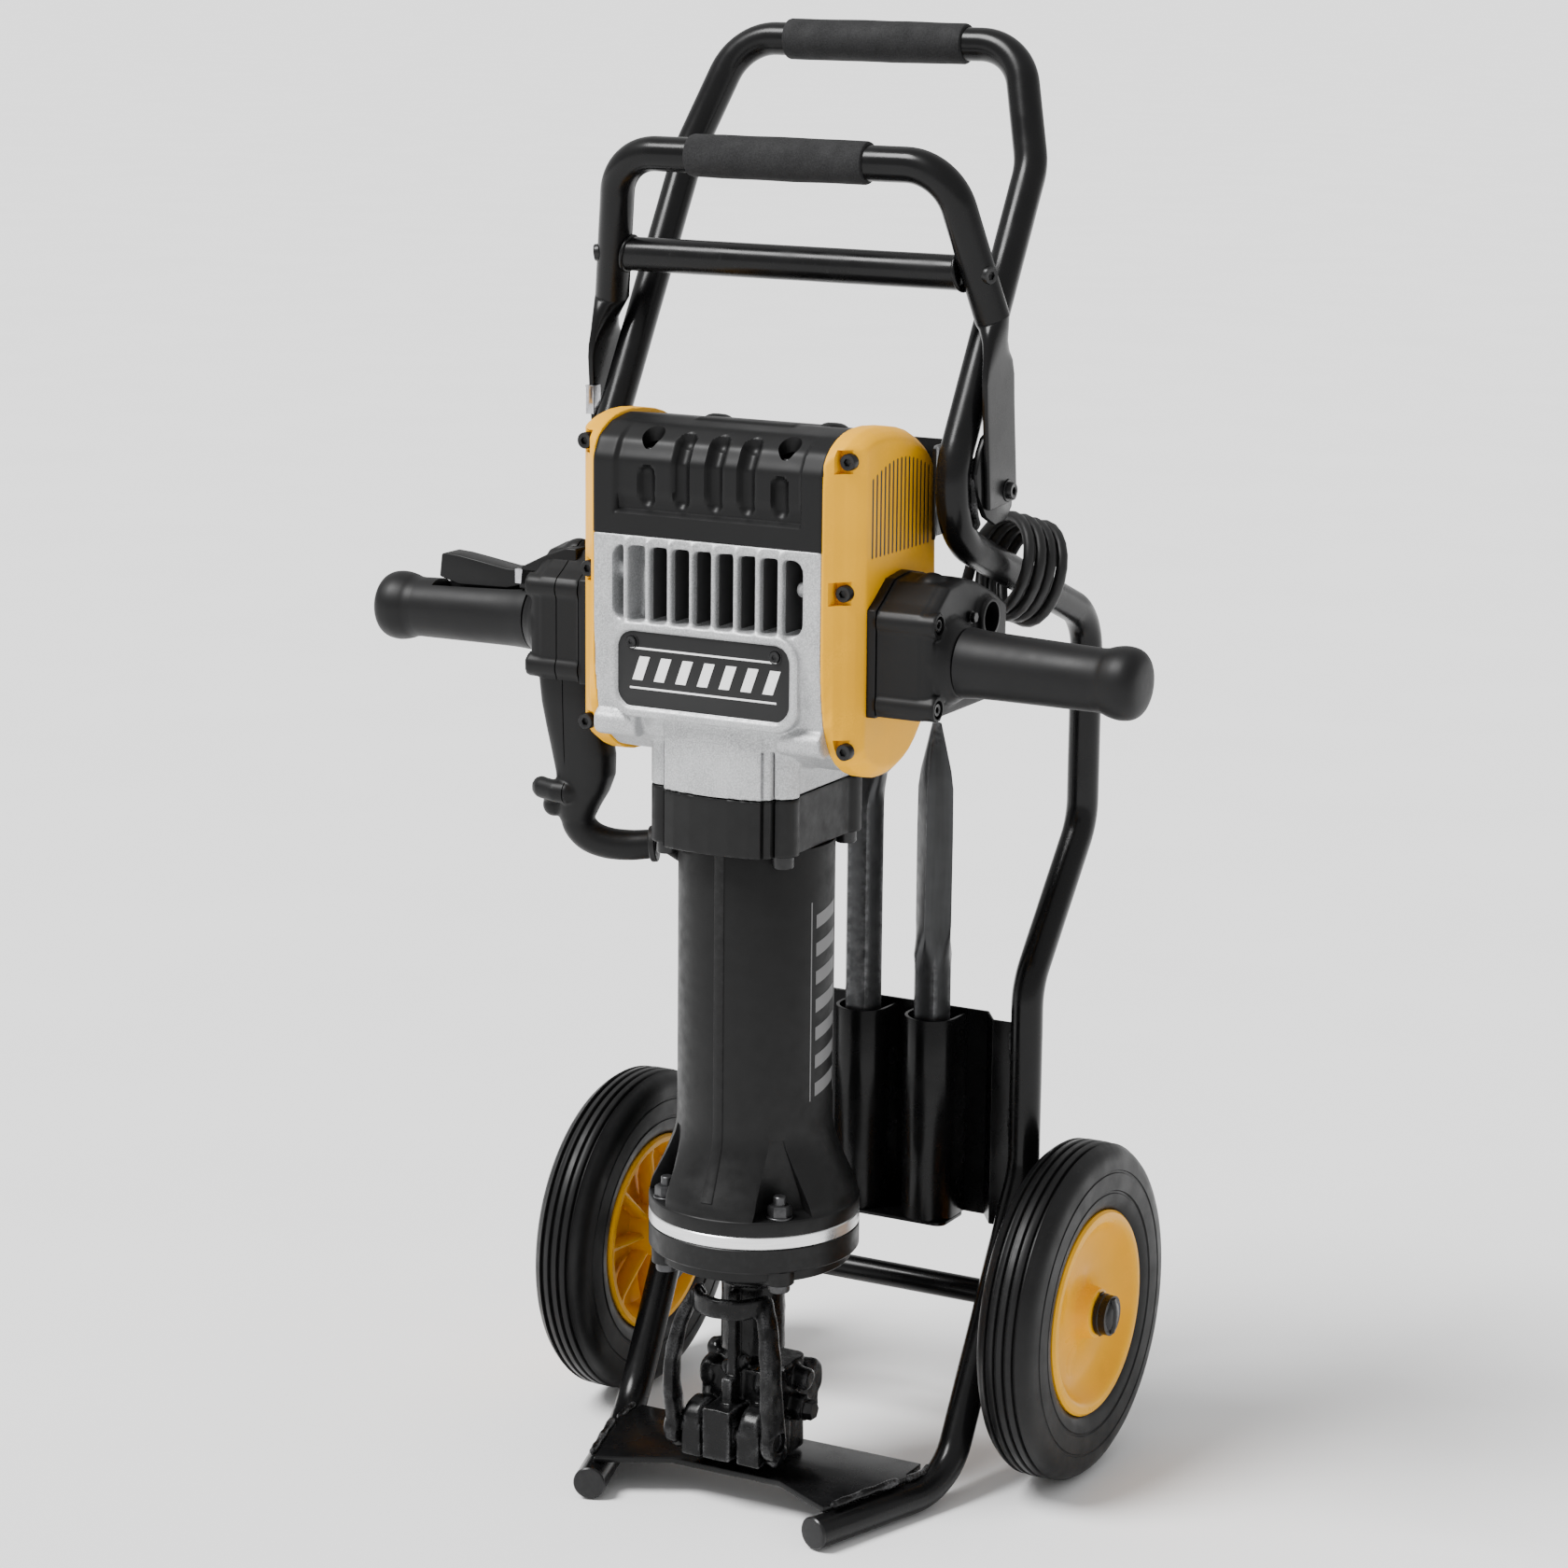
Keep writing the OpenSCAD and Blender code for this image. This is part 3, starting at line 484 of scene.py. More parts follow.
# ---------------------------------------------------------------- materials
class Surface:
    """A node material, built step by step."""

    def __init__(self, name):
        self.material = bpy.data.materials.new(name)
        self.material.use_nodes = True
        self.tree = self.material.node_tree
        self.shader = self.tree.nodes["Principled BSDF"]
        self.place = self.tree.nodes.new("ShaderNodeTexCoord").outputs["Object"]
        self.bump = None

    def link(self, output, socket):
        self.tree.links.new(output, socket)

    def noise(self, scale, detail=3.0, rough=0.55, stretch=None):
        """Noise whose scale is in spots per metre."""
        node = self.tree.nodes.new("ShaderNodeTexNoise")
        node.inputs["Scale"].default_value = scale
        node.inputs["Detail"].default_value = detail
        node.inputs["Roughness"].default_value = rough
        source = self.place
        if stretch:
            mapping = self.tree.nodes.new("ShaderNodeMapping")
            mapping.inputs["Scale"].default_value = stretch
            self.link(source, mapping.inputs["Vector"])
            source = mapping.outputs["Vector"]
        self.link(source, node.inputs["Vector"])
        return node.outputs["Fac"]

    def spots(self, scale, detail, low, high, to_low=0.0, to_high=1.0, rough=0.55):
        """Noise made into clearer spots: to_low where it is under low, to_high where over high."""
        return self.spread(self.noise(scale, detail, rough), low, high, to_low, to_high)

    def cells(self, scale, smooth=0.3):
        node = self.tree.nodes.new("ShaderNodeTexVoronoi")
        node.feature = "SMOOTH_F1"
        node.inputs["Scale"].default_value = scale
        node.inputs["Smoothness"].default_value = smooth
        self.link(self.place, node.inputs["Vector"])
        return node.outputs["Distance"]

    def spread(self, value, low, high, to_low=0.0, to_high=1.0):
        node = self.tree.nodes.new("ShaderNodeMapRange")
        self.link(value, node.inputs["Value"])
        for socket, number in zip(("From Min", "From Max", "To Min", "To Max"), (low, high, to_low, to_high)):
            node.inputs[socket].default_value = number
        return node.outputs["Result"]

    def mix(self, factor, first, second):
        """Mixes two colours, each a triple or a socket."""
        node = self.tree.nodes.new("ShaderNodeMix")
        node.data_type = "RGBA"
        self.link(factor, node.inputs["Factor"])
        for socket, colour in ((node.inputs[6], first), (node.inputs[7], second)):
            if isinstance(colour, tuple):
                socket.default_value = (*colour, 1)
            else:
                self.link(colour, socket)
        return node.outputs[2]

    def both(self, a, b):
        """The product of two masks: 1 only where both are 1."""
        node = self.tree.nodes.new("ShaderNodeMath")
        node.operation = "MULTIPLY"
        self.link(a, node.inputs[0])
        self.link(b, node.inputs[1])
        return node.outputs[0]

    def edges(self, low, high):
        """1 on outer edges and 0 on flats."""
        node = self.tree.nodes.new("ShaderNodeNewGeometry")
        return self.spread(node.outputs["Pointiness"], low, high)

    def relief(self, height, depth_mm, strength=1.0):
        """Adds a bump of that real depth."""
        node = self.tree.nodes.new("ShaderNodeBump")
        node.inputs["Distance"].default_value = depth_mm * MM
        node.inputs["Strength"].default_value = strength
        self.link(height, node.inputs["Height"])
        if self.bump is not None:
            self.link(self.bump, node.inputs["Normal"])
        self.bump = node.outputs["Normal"]

    def grain(self, scale, detail, depth_mm, strength, rough=0.55):
        self.relief(self.noise(scale, detail, rough), depth_mm, strength)

    def finish(self, colour, rough, metal=0.0, specular=0.5):
        inputs = self.shader.inputs
        if isinstance(colour, tuple):
            inputs["Base Color"].default_value = (*colour, 1)
        else:
            self.link(colour, inputs["Base Color"])
        if isinstance(rough, float):
            inputs["Roughness"].default_value = rough
        else:
            self.link(rough, inputs["Roughness"])
        inputs["Metallic"].default_value = metal
        inputs["Specular IOR Level"].default_value = specular
        if self.bump is not None:
            self.link(self.bump, inputs["Normal"])
        return self.material


def tint(colour, share):
    return tuple(min(1.0, c * share) for c in colour)


def moulded(name, colour, rough, grain=0.05, grain_scale=2200, specular=0.5):
    """Moulded plastic or rubber: fine grain, slow colour drift and pale specks."""
    s = Surface(name)
    drift = s.spots(9, 3, 0.3, 0.7)
    speck = s.spots(700, 2, 0.35, 0.75)
    base = s.mix(drift, tint(colour, 0.9), tint(colour, 1.1))
    base = s.mix(s.both(speck, s.spots(40, 3, 0.45, 0.8)), base, tint(colour, 1.22))
    s.grain(grain_scale, 2, grain, 0.6)
    s.grain(60, 2, 0.05, 0.25)
    roughness = s.spots(25, 4, 0.3, 0.7, rough - 0.05, rough + 0.07)
    return s.finish(base, roughness, specular=specular)


def cast_aluminium():
    s = Surface("cast_aluminium")
    base = (0.43, 0.435, 0.44)
    speck = s.spots(900, 2, 0.4, 0.62, rough=0.7)
    cloud = s.spots(32, 4, 0.35, 0.68)
    colour = s.mix(speck, tint(base, 0.72), tint(base, 1.25))
    colour = s.mix(cloud, colour, s.mix(speck, tint(base, 0.98), tint(base, 1.3)))
    colour = s.mix(s.spots(14, 3, 0.62, 0.8), colour, tint(base, 0.8))
    s.grain(900, 3, 0.16, 0.7, rough=0.7)
    s.grain(150, 3, 0.15, 0.35)
    rough = s.spots(320, 3, 0.3, 0.7, 0.42, 0.62)
    return s.finish(colour, rough, metal=0.6)


def turned_metal():
    s = Surface("machined_ring")
    lines = s.noise(30, 2, stretch=(1, 1, 90))
    colour = s.mix(s.spread(lines, 0.35, 0.65), (0.72, 0.73, 0.74), (0.9, 0.9, 0.9))
    s.relief(s.noise(20, 2, stretch=(1, 1, 160)), 0.02, 0.5)
    return s.finish(colour, s.spots(60, 3, 0.3, 0.7, 0.24, 0.36), metal=0.85)


def gloss_paint():
    """Powder coat on tube and plate: deep gloss with a slight orange peel and small chips."""
    s = Surface("frame_paint")
    black = (0.0035, 0.0035, 0.0037)
    chips = s.both(s.edges(0.58, 0.66), s.spots(170, 5, 0.62, 0.7))
    colour = s.mix(s.spots(12, 3, 0.35, 0.7), tint(black, 0.85), tint(black, 1.4))
    colour = s.mix(chips, colour, (0.03, 0.03, 0.031))
    s.grain(420, 2, 0.025, 0.35)
    s.grain(90, 2, 0.06, 0.15)
    roughness = s.spots(35, 4, 0.35, 0.75, 0.2, 0.36)
    return s.finish(colour, roughness, specular=0.2)


def rough_black(name, colour, rough, lumps=0.35):
    """Painted casting: a coarse skin under satin paint."""
    s = Surface(name)
    base = s.mix(s.spots(60, 3, 0.3, 0.7), tint(colour, 0.85), tint(colour, 1.2))
    rub = s.both(s.edges(0.53, 0.6), s.spots(200, 4, 0.45, 0.7))
    base = s.mix(rub, base, tint(colour, 2.6))
    s.grain(520, 3, lumps * 0.3, 0.7, rough=0.65)
    s.grain(110, 3, lumps, 0.25)
    roughness = s.spots(90, 4, 0.3, 0.7, rough - 0.08, rough + 0.1)
    return s.finish(base, roughness, specular=0.22)


def nose_black():
    """Wet-looking paint over a rough forging, worn on its high spots, with painted glints: pale specks in the
    worn places.
    """
    s = Surface("nose_casting")
    worn = s.both(s.edges(0.5, 0.56), s.spots(75, 4, 0.42, 0.62))
    # pale specks in the worn places: a painted glint on the real wear
    painted_glint = s.spread(s.cells(900), 0.25, 0.6)
    colour = s.mix(s.both(worn, painted_glint), (0.0035, 0.0035, 0.0037), (0.1, 0.1, 0.103))
    s.grain(380, 3, 0.25, 0.5, rough=0.6)
    s.grain(85, 3, 0.4, 0.35)
    roughness = s.spots(120, 3, 0.3, 0.75, 0.16, 0.4)
    return s.finish(colour, roughness, specular=0.17)


def foam():
    s = Surface("foam")
    colour = s.mix(s.spots(900, 3, 0.35, 0.7, rough=0.7), (0.005, 0.005, 0.0053), (0.02, 0.02, 0.021))
    s.relief(s.cells(1500, 0.4), 0.25, 0.5)
    s.grain(45, 3, 0.5, 0.4)
    return s.finish(colour, s.spots(60, 3, 0.3, 0.7, 0.72, 0.88), specular=0.3)


def tyre_rubber():
    s = Surface("tyre_rubber")
    colour = s.mix(s.spots(30, 4, 0.3, 0.72), (0.004, 0.004, 0.0042), (0.0075, 0.0075, 0.0078))
    dust = s.both(s.spots(260, 4, 0.55, 0.8), s.spots(18, 3, 0.45, 0.75))
    colour = s.mix(dust, colour, (0.02, 0.0195, 0.019))
    s.grain(1400, 2, 0.05, 0.5)
    s.grain(70, 3, 0.12, 0.3)
    return s.finish(colour, s.spots(45, 4, 0.3, 0.7, 0.34, 0.5), specular=0.2)


def forged_steel():
    s = Surface("chisel_steel")
    streak = s.spread(s.noise(40, 4, stretch=(1, 1, 0.08)), 0.35, 0.65)
    colour = s.mix(streak, (0.022, 0.0225, 0.023), (0.05, 0.051, 0.053))
    rub = s.both(s.edges(0.52, 0.58), s.spots(150, 4, 0.4, 0.65))
    colour = s.mix(rub, colour, (0.16, 0.16, 0.165))
    s.grain(300, 3, 0.12, 0.5)
    s.grain(60, 3, 0.25, 0.3)
    return s.finish(colour, s.spots(90, 3, 0.3, 0.7, 0.28, 0.42), metal=0.6)


def plain_steel(name="steel", colour=(0.5, 0.5, 0.52), rough=0.3, metal=0.95):
    s = Surface(name)
    tone = s.mix(s.spots(240, 4, 0.3, 0.7), tint(colour, 0.75), tint(colour, 1.15))
    s.grain(700, 2, 0.03, 0.4)
    return s.finish(tone, s.spots(150, 3, 0.3, 0.7, rough - 0.06, rough + 0.12), metal=metal)


def copper_windings():
    s = Surface("windings")
    wires = s.noise(60, 1, stretch=(26, 1, 1))
    colour = s.mix(s.spread(wires, 0.4, 0.6), (0.3, 0.1, 0.03), (0.75, 0.34, 0.14))
    s.relief(wires, 0.4, 0.8)
    return s.finish(colour, s.spots(200, 3, 0.3, 0.7, 0.3, 0.45), metal=0.7)


YELLOW = (0.8, 0.38, 0.0)
BLACK_PLASTIC = (0.0045, 0.0045, 0.0047)

LOOKS = {
    "aluminium": (cast_aluminium(), "cast_aluminium"),
    "yellow": (moulded("yellow_cover", YELLOW, 0.45, 0.03, 1800, specular=0.15), "yellow_cover"),
    "rim": (moulded("yellow_rim", YELLOW, 0.3, 0.015, 900, specular=0.2), "yellow_rim"),
    "plastic": (moulded("black_housing", BLACK_PLASTIC, 0.42, 0.05, 1700, specular=0.2),
                "black_housing"),
    "grip": (moulded("grip_rubber", (0.0055, 0.0055, 0.0058), 0.46, 0.06, 1500, specular=0.2), "grip_rubber"),
    "cord": (moulded("cord_rubber", (0.006, 0.006, 0.0062), 0.45, 0.06, 1400, specular=0.35), "cord_rubber"),
    "barrel": (rough_black("black_casting", (0.0045, 0.0045, 0.0046), 0.42, 0.2), "black_casting"),
    "ring": (turned_metal(), "machined_ring"),
    "paint": (gloss_paint(), "frame_paint"),
    "nose": (nose_black(), "nose_casting"),
    "foam": (foam(), "foam"),
    "tyre": (tyre_rubber(), "tyre_rubber"),
    "chisel": (forged_steel(), "chisel_steel"),
    "steel": (plain_steel(), "steel"),
    "screw": (plain_steel("black_fastener", (0.012, 0.012, 0.0125), 0.3, 0.5), "black_fastener"),
    "zinc": (plain_steel("black_fastener_worn", (0.06, 0.06, 0.062), 0.34, 0.8), "black_fastener"),
    "plate": (moulded("nameplate", (0.008, 0.008, 0.0083), 0.42, 0.02, 1800, specular=0.3), "nameplate"),
    "print": (moulded("nameplate_print", (0.82, 0.82, 0.82), 0.4, 0.02, 1500), "nameplate"),
    "decal": (moulded("barrel_print", (0.13, 0.13, 0.132), 0.45, 0.02, 1500), "black_casting"),
    "windings": (copper_windings(), "windings"),
    # painted shade: a flat dark grey laid in the grille's gaps, the cover slots and the recess floors, where
    # only shade falls
    "painted_shade": (moulded("painted_shade_dark", (0.03, 0.03, 0.031), 0.6, 0.05, 1200), "black_housing"),
}


# ---------------------------------------------------------------- cord
CORD_D = 9
CORD_EXIT = (-90, -98.8, 510.4)
CORD_ROUTE = [
    CORD_EXIT, (-83, -94, 506), (-75, -83, 497), (-66, -68, 489), (-53, -52, 484), (-37, -38, 483),
    (-19, -27, 485), (-5, -20, 493), (5, -13, 509), (14, -4, 534), (24, 6, 566), (35, 16, 600),
    (48, 25, 632), (63, 33, 659), (81, 42, 677), (101, 48, 686), (121, 51, 689), (139, 47, 688),
]
CORD_TAIL = [(107.5, 43, 733), (104.5, 38.5, 716), (101.5, 35, 700), (99.5, 32.5, 688)]
COIL_AT = Vector((148, 36, 728))
COIL_AXIS = Vector((0.55, 0.78, -0.3)).normalized()
COIL_R = 37
COIL_REACH = 18.4
COIL_TURNS = 3.75
PLUG_AT = Vector((97, 30, 640))


def coil_points():
    """The winding, from the far turn's lowest point round to the near turn's left side."""
    level = COIL_AXIS.cross(Z).normalized()
    down = COIL_AXIS.cross(level)
    down = down if down.z < 0 else -down
    count = round(COIL_TURNS * 24)
    points = []
    for k in range(count + 1):
        share = k / count
        angle = math.radians(90) - math.tau * COIL_TURNS * share
        centre = COIL_AT + COIL_AXIS * COIL_REACH * (1 - 2 * share)
        radius = COIL_R + 0.8 * math.sin(angle * 0.5 + 1)
        points.append(centre + (level * math.cos(angle) + down * math.sin(angle)) * radius)
    return points


def make_cord():
    turns = coil_points()
    path = curve_through(CORD_ROUTE + [turns[0]], 4)[:-1] + turns
    path += curve_through([turns[-1]] + CORD_TAIL[1:], 4)[1:]
    cord = piece("cord", sweep(path, CORD_D / 2, 16), "cord", "trolley", "cord_run", "cord_coil")
    rings = [(6.5, 0), (10, 2), (14, 5), (16, 9)]
    for k in range(4):
        rings += [(16, 12 + 5 * k), (14.4, 13 + 5 * k), (14.4, 15 + 5 * k), (16, 16 + 5 * k)]
    rings = [(0, 0)] + rings + [(16, 35), (15, 37), (0, 37)]
    top = Vector(CORD_TAIL[-1]) + Vector((0, 0, -11))
    relief = [(0, -14), (5.2, -14), (5.6, -8), (7.5, 0), (0, 0)]
    axis = (PLUG_AT + Vector((0, 0, 4)) - top).normalized()
    low, high = PLUG_AT + Vector((-0.8, -3.2, -16)), PLUG_AT + Vector((0.8, 3.2, 6))
    blades = [bevelled(block(low + X * x, high + X * x), 0.4) for x in (-6, 6)]
    plug = piece("cord_plug_body", joined(lathe(rings, top, axis, 64, closed=False),
                                          lathe(relief, top, axis, 40, closed=False)),
                 "cord", "trolley", "cord_plug")
    pins = piece("cord_plug_blades", joined(*blades), "steel", "trolley")
    cord.parent = None
    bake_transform(cord)


# ---------------------------------------------------------------- trolley
SIDE_ROUTE = [
    (100, -186, 12.7), (144, -52, 12.7), (148, 72, 238), (148, 72, 390), (148, 168, 505),
    (148, 168, 672), (148, -104.5, 777), (148, 45, 1032), (120, 78, 1119), (0, 78, 1119),
]
SIDE_BENDS = [0, 60, 50, 50, 50, 45, 55, 60, 42, 0]


def make_frame_tubes():
    tube = sweep(bent_path(SIDE_ROUTE, SIDE_BENDS, 5), TUBE_R, 40)
    piece("frame_tube_right_skin", tube, "paint", "trolley", "frame_tube_right", angle=60)
    piece("frame_tube_left_skin", mirrored(tube), "paint", "trolley", "frame_tube_left", angle=60)
    foot, knee = Vector(SIDE_ROUTE[0]), Vector(SIDE_ROUTE[1])
    back = (foot - knee).normalized()
    r = TUBE_R
    profile = [(0, 0), (r + 0.1, 0), (r + 0.1, 1.4), (r - 0.8, 2.5), (r - 3, 2.9), (0, 2.2)]
    caps = both_sides(lathe(profile, foot, back, 48, closed=False))
    piece("foot_tube_caps", caps, "screw", "trolley", "tube_caps")


def make_foot_plate():
    outline = [(127, -60), (127, -86), (131, -89), (102, -176), (48, -147)]
    outline += [(-x, y) for x, y in reversed(outline)]
    plate = bevelled(slab(outline, "xy", 25.4, 30.4), 0.9)
    piece("foot_plate_sheet", plate, "paint", "trolley", "foot_plate")
    beads = [
        weld_bead([(106.5, -172, 31), (118, -136, 31.5), (129, -102, 31)], 3, seed=2),
        weld_bead([(129.5, -92, 29), (134.5, -72, 28), (133.5, -60, 30)], 2.6, seed=5),
    ]
    piece("foot_plate_welds", both_sides(joined(*beads)), "nose", "trolley")


def make_axle():
    piece("axle_bar", bar(-231, 231, WHEEL.y, WHEEL.z, 10, sides=48, edge=1),
          "paint", "trolley", "axle")
    outline = [(39.5, 151), (12.5, 102), (50, 116), (64, 153)]
    bracket = bevelled(slab(outline, "yz", 143.5, 148.5), 0.8)
    ring = [(WHEEL.y + 12 * math.cos(t), WHEEL.z + 12 * math.sin(t))
            for t in degrees(60, 300, 20)]
    beads = [weld_bead([(x, y, z) for y, z in ring], 2.2, seed=x) for x in (142.6, 149.6)]
    piece("axle_gussets", both_sides(bracket), "paint", "trolley", "axle_brackets")
    piece("axle_welds", both_sides(joined(*beads)), "paint", "trolley")


def make_chisel_holder():
    """A folded sheet between the side tubes with two pockets and a tray under them."""
    low, high = 187, 357
    back = [(135.2, 72), (118, 72), (104, 92), (-104, 92), (-118, 72), (-135.2, 72)]
    back += [(x, y + 3) for x, y in reversed(back)]
    sheets = [slab(back, "xy", low, high)]
    for x in CHISEL_X:
        outer = [(x + 22 * math.cos(t), CHISEL_Y + 22 * math.sin(t)) for t in degrees(0, -180, -10)]
        inner = [(x + 19 * math.cos(t), CHISEL_Y + 19 * math.sin(t)) for t in degrees(-180, 0, 10)]
        sheets.append(slab([(x + 22, 93)] + outer + [(x - 22, 93), (x - 19, 93)] + inner + [(x + 19, 93)],
                           "xy", low, high - 3))
    sheets.append(slab(round_rect(106, 43, 8, 33, 73.5), "xy", low - 3, low))
    piece("chisel_holder_sheet", bevelled(joined(*sheets), 0.7), "paint", "trolley", "chisel_holder")
    beads = [weld_bead([(136.5, 71, z), (136.5, 70, z + 26)], 2.8, seed=z) for z in (196, 262, 326)]
    piece("chisel_holder_welds", both_sides(joined(*beads)), "nose", "trolley")


def make_back_rest():
    line = [(135, -80), (128.5, -66), (127, -60), (127, -38), (124, -30), (118, -26)]
    outer = line + [(-x, y) for x, y in reversed(line)]
    inner = [(x - math.copysign(3, x), y if y < -40 else y - 3) for x, y in outer]
    strip = slab(outer + inner[::-1], "xy", 764, 832)
    piece("back_rest_strip", bevelled(strip, 0.8), "paint", "trolley", "back_rest")
    plates = [(-78, 806), (-50, 772), (-14, 776), (-12, 806), (-20, 828), (-34, 841), (-50, 845), (-66, 838)]
    bracket = bevelled(slab(smooth_outline(plates, 1), "yz", 160.8, 165.6), 0.7)
    piece("pivot_bracket_plates", both_sides(bracket), "paint", "trolley", "pivot_brackets")
    bead = weld_bead([(160.2, -62, 772), (160.4, -70, 792), (160.4, -72, 808), (160.2, -66, 826)], 3.4, 7)
    piece("pivot_bracket_welds", both_sides(bead), "nose", "trolley")


def foam_sleeve(name, start, end, radius, body, *stands_for):
    """A foam tube pushed over a bar: a little fuller in the middle, with soft lips."""
    start, end = Vector(start), Vector(end)
    length = (end - start).length
    profile = [(TUBE_R - 0.2, 0), (radius - 2.2, 0), (radius - 0.6, 0.9), (radius - 0.1, 2.4)]
    for k in range(1, 12):
        share = k / 12
        profile.append((radius + 0.35 * math.sin(math.pi * share) - 0.1, 2.4 + (length - 4.8) * share))
    profile += [(radius - 0.1, length - 2.4), (radius - 0.6, length - 0.9), (radius - 2.2, length),
                (TUBE_R - 0.2, length)]
    sleeve = lathe(profile, start, end - start, 64)

    def dent(p):
        wander = noise.noise(Vector((p.x * 0.035, p.y * 0.05, p.z * 0.05)))
        out = Vector((0, p.y - start.y, p.z - start.z))
        return p + out.normalized() * 0.5 * wander if out.length > radius - 1 else p

    piece(name, moved(sleeve, dent), "foam", body, *stands_for)


def make_hoop():
    route = [(-162.6, -47.6, 926), (-138, -78, 1037.5), (138, -78, 1037.5), (162.6, -47.6, 926)]
    tube = sweep(bent_path(route, [0, 40, 40, 0], 5), TUBE_R + 0.5, 40)
    piece("hoop_tube_skin", tube, "paint", "front_hoop", "hoop_tube", angle=60)
    down = (Vector(route[3]) - Vector(route[2])).normalized()
    levels = [
        ((162.6, -47.6, 926), 13.2, 13.2, 2.0), ((164.8, -49.4, 919), 10.4, 13.4, 2.1),
        ((166.6, -50.6, 910), 6.9, 14.8, 2.5), ((167.6, -50.2, 900), 4.2, 18.4, 3.4),
        ((168.2, -48.8, 892), 2.8, 21.8, 8), ((168.4, -47.6, 882), 2.3, 23.4, 18),
        ((168.4, -46.0, 860), 2.3, 23.4, 14), ((168.4, -42.2, 824), 2.3, 23.2, 14),
        ((168.4, -38.6, 789.4), 2.3, 23, 14), ((168.4, -38.5, 788), 1.7, 22, 14),
    ]
    rings = []
    for i, (centre, a, b, power) in enumerate(levels):
        ahead = down if i == 0 else (Vector(levels[min(i + 1, len(levels) - 1)][0])
                                     - Vector(levels[i - 1][0])).normalized()
        across = (X - ahead * ahead.x).normalized()
        rings.append(oval(centre, across, ahead.cross(across), a, b, power, 40, math.pi / 40))
    piece("hoop_strap_plates", both_sides(loft(rings)), "paint", "front_hoop", "hoop_straps", angle=50)
    bar_y, bar_z = -57.5, 959.5
    piece("hoop_cross_bar", bar(-141, 141, bar_y, bar_z, 13, sides=56), "paint",
          "front_hoop", "hoop_cross_tube")
    ring = [(141 - 2.4 * math.sin(t), bar_y + 13 * math.cos(t), bar_z + 13 * math.sin(t))
            for t in degrees(0, 360, 15)]
    piece("hoop_bar_welds", both_sides(weld_bead(ring, 1.7, seed=3)), "paint", "front_hoop")
    pivot_y, pivot_z = -31.5, 798
    bolts = [
        socket_screw((165.6, bar_y - 4.6, bar_z), (0.92, -0.38, -0.1), 6.6, 3.6),
        bar(160, 171, pivot_y, pivot_z, 5),
        bar(170.5, 171.6, pivot_y, pivot_z, 8.6, edge=0.4),
        socket_screw((171.5, pivot_y, pivot_z), X, 6.4, 4.2),
    ]
    piece("hoop_bolt_heads", both_sides(joined(*bolts)), "screw", "front_hoop", "hoop_bolts")
    clip = bevelled(joined(block((-172, -71.6, 836), (-164.9, -70, 858)),
                           block((-172, -71.6, 836), (-170.9, -59, 858)),
                           block((-166, -71.6, 836), (-164.9, -61, 858))), 0.3)
    piece("hoop_clip", clip, "steel", "front_hoop")


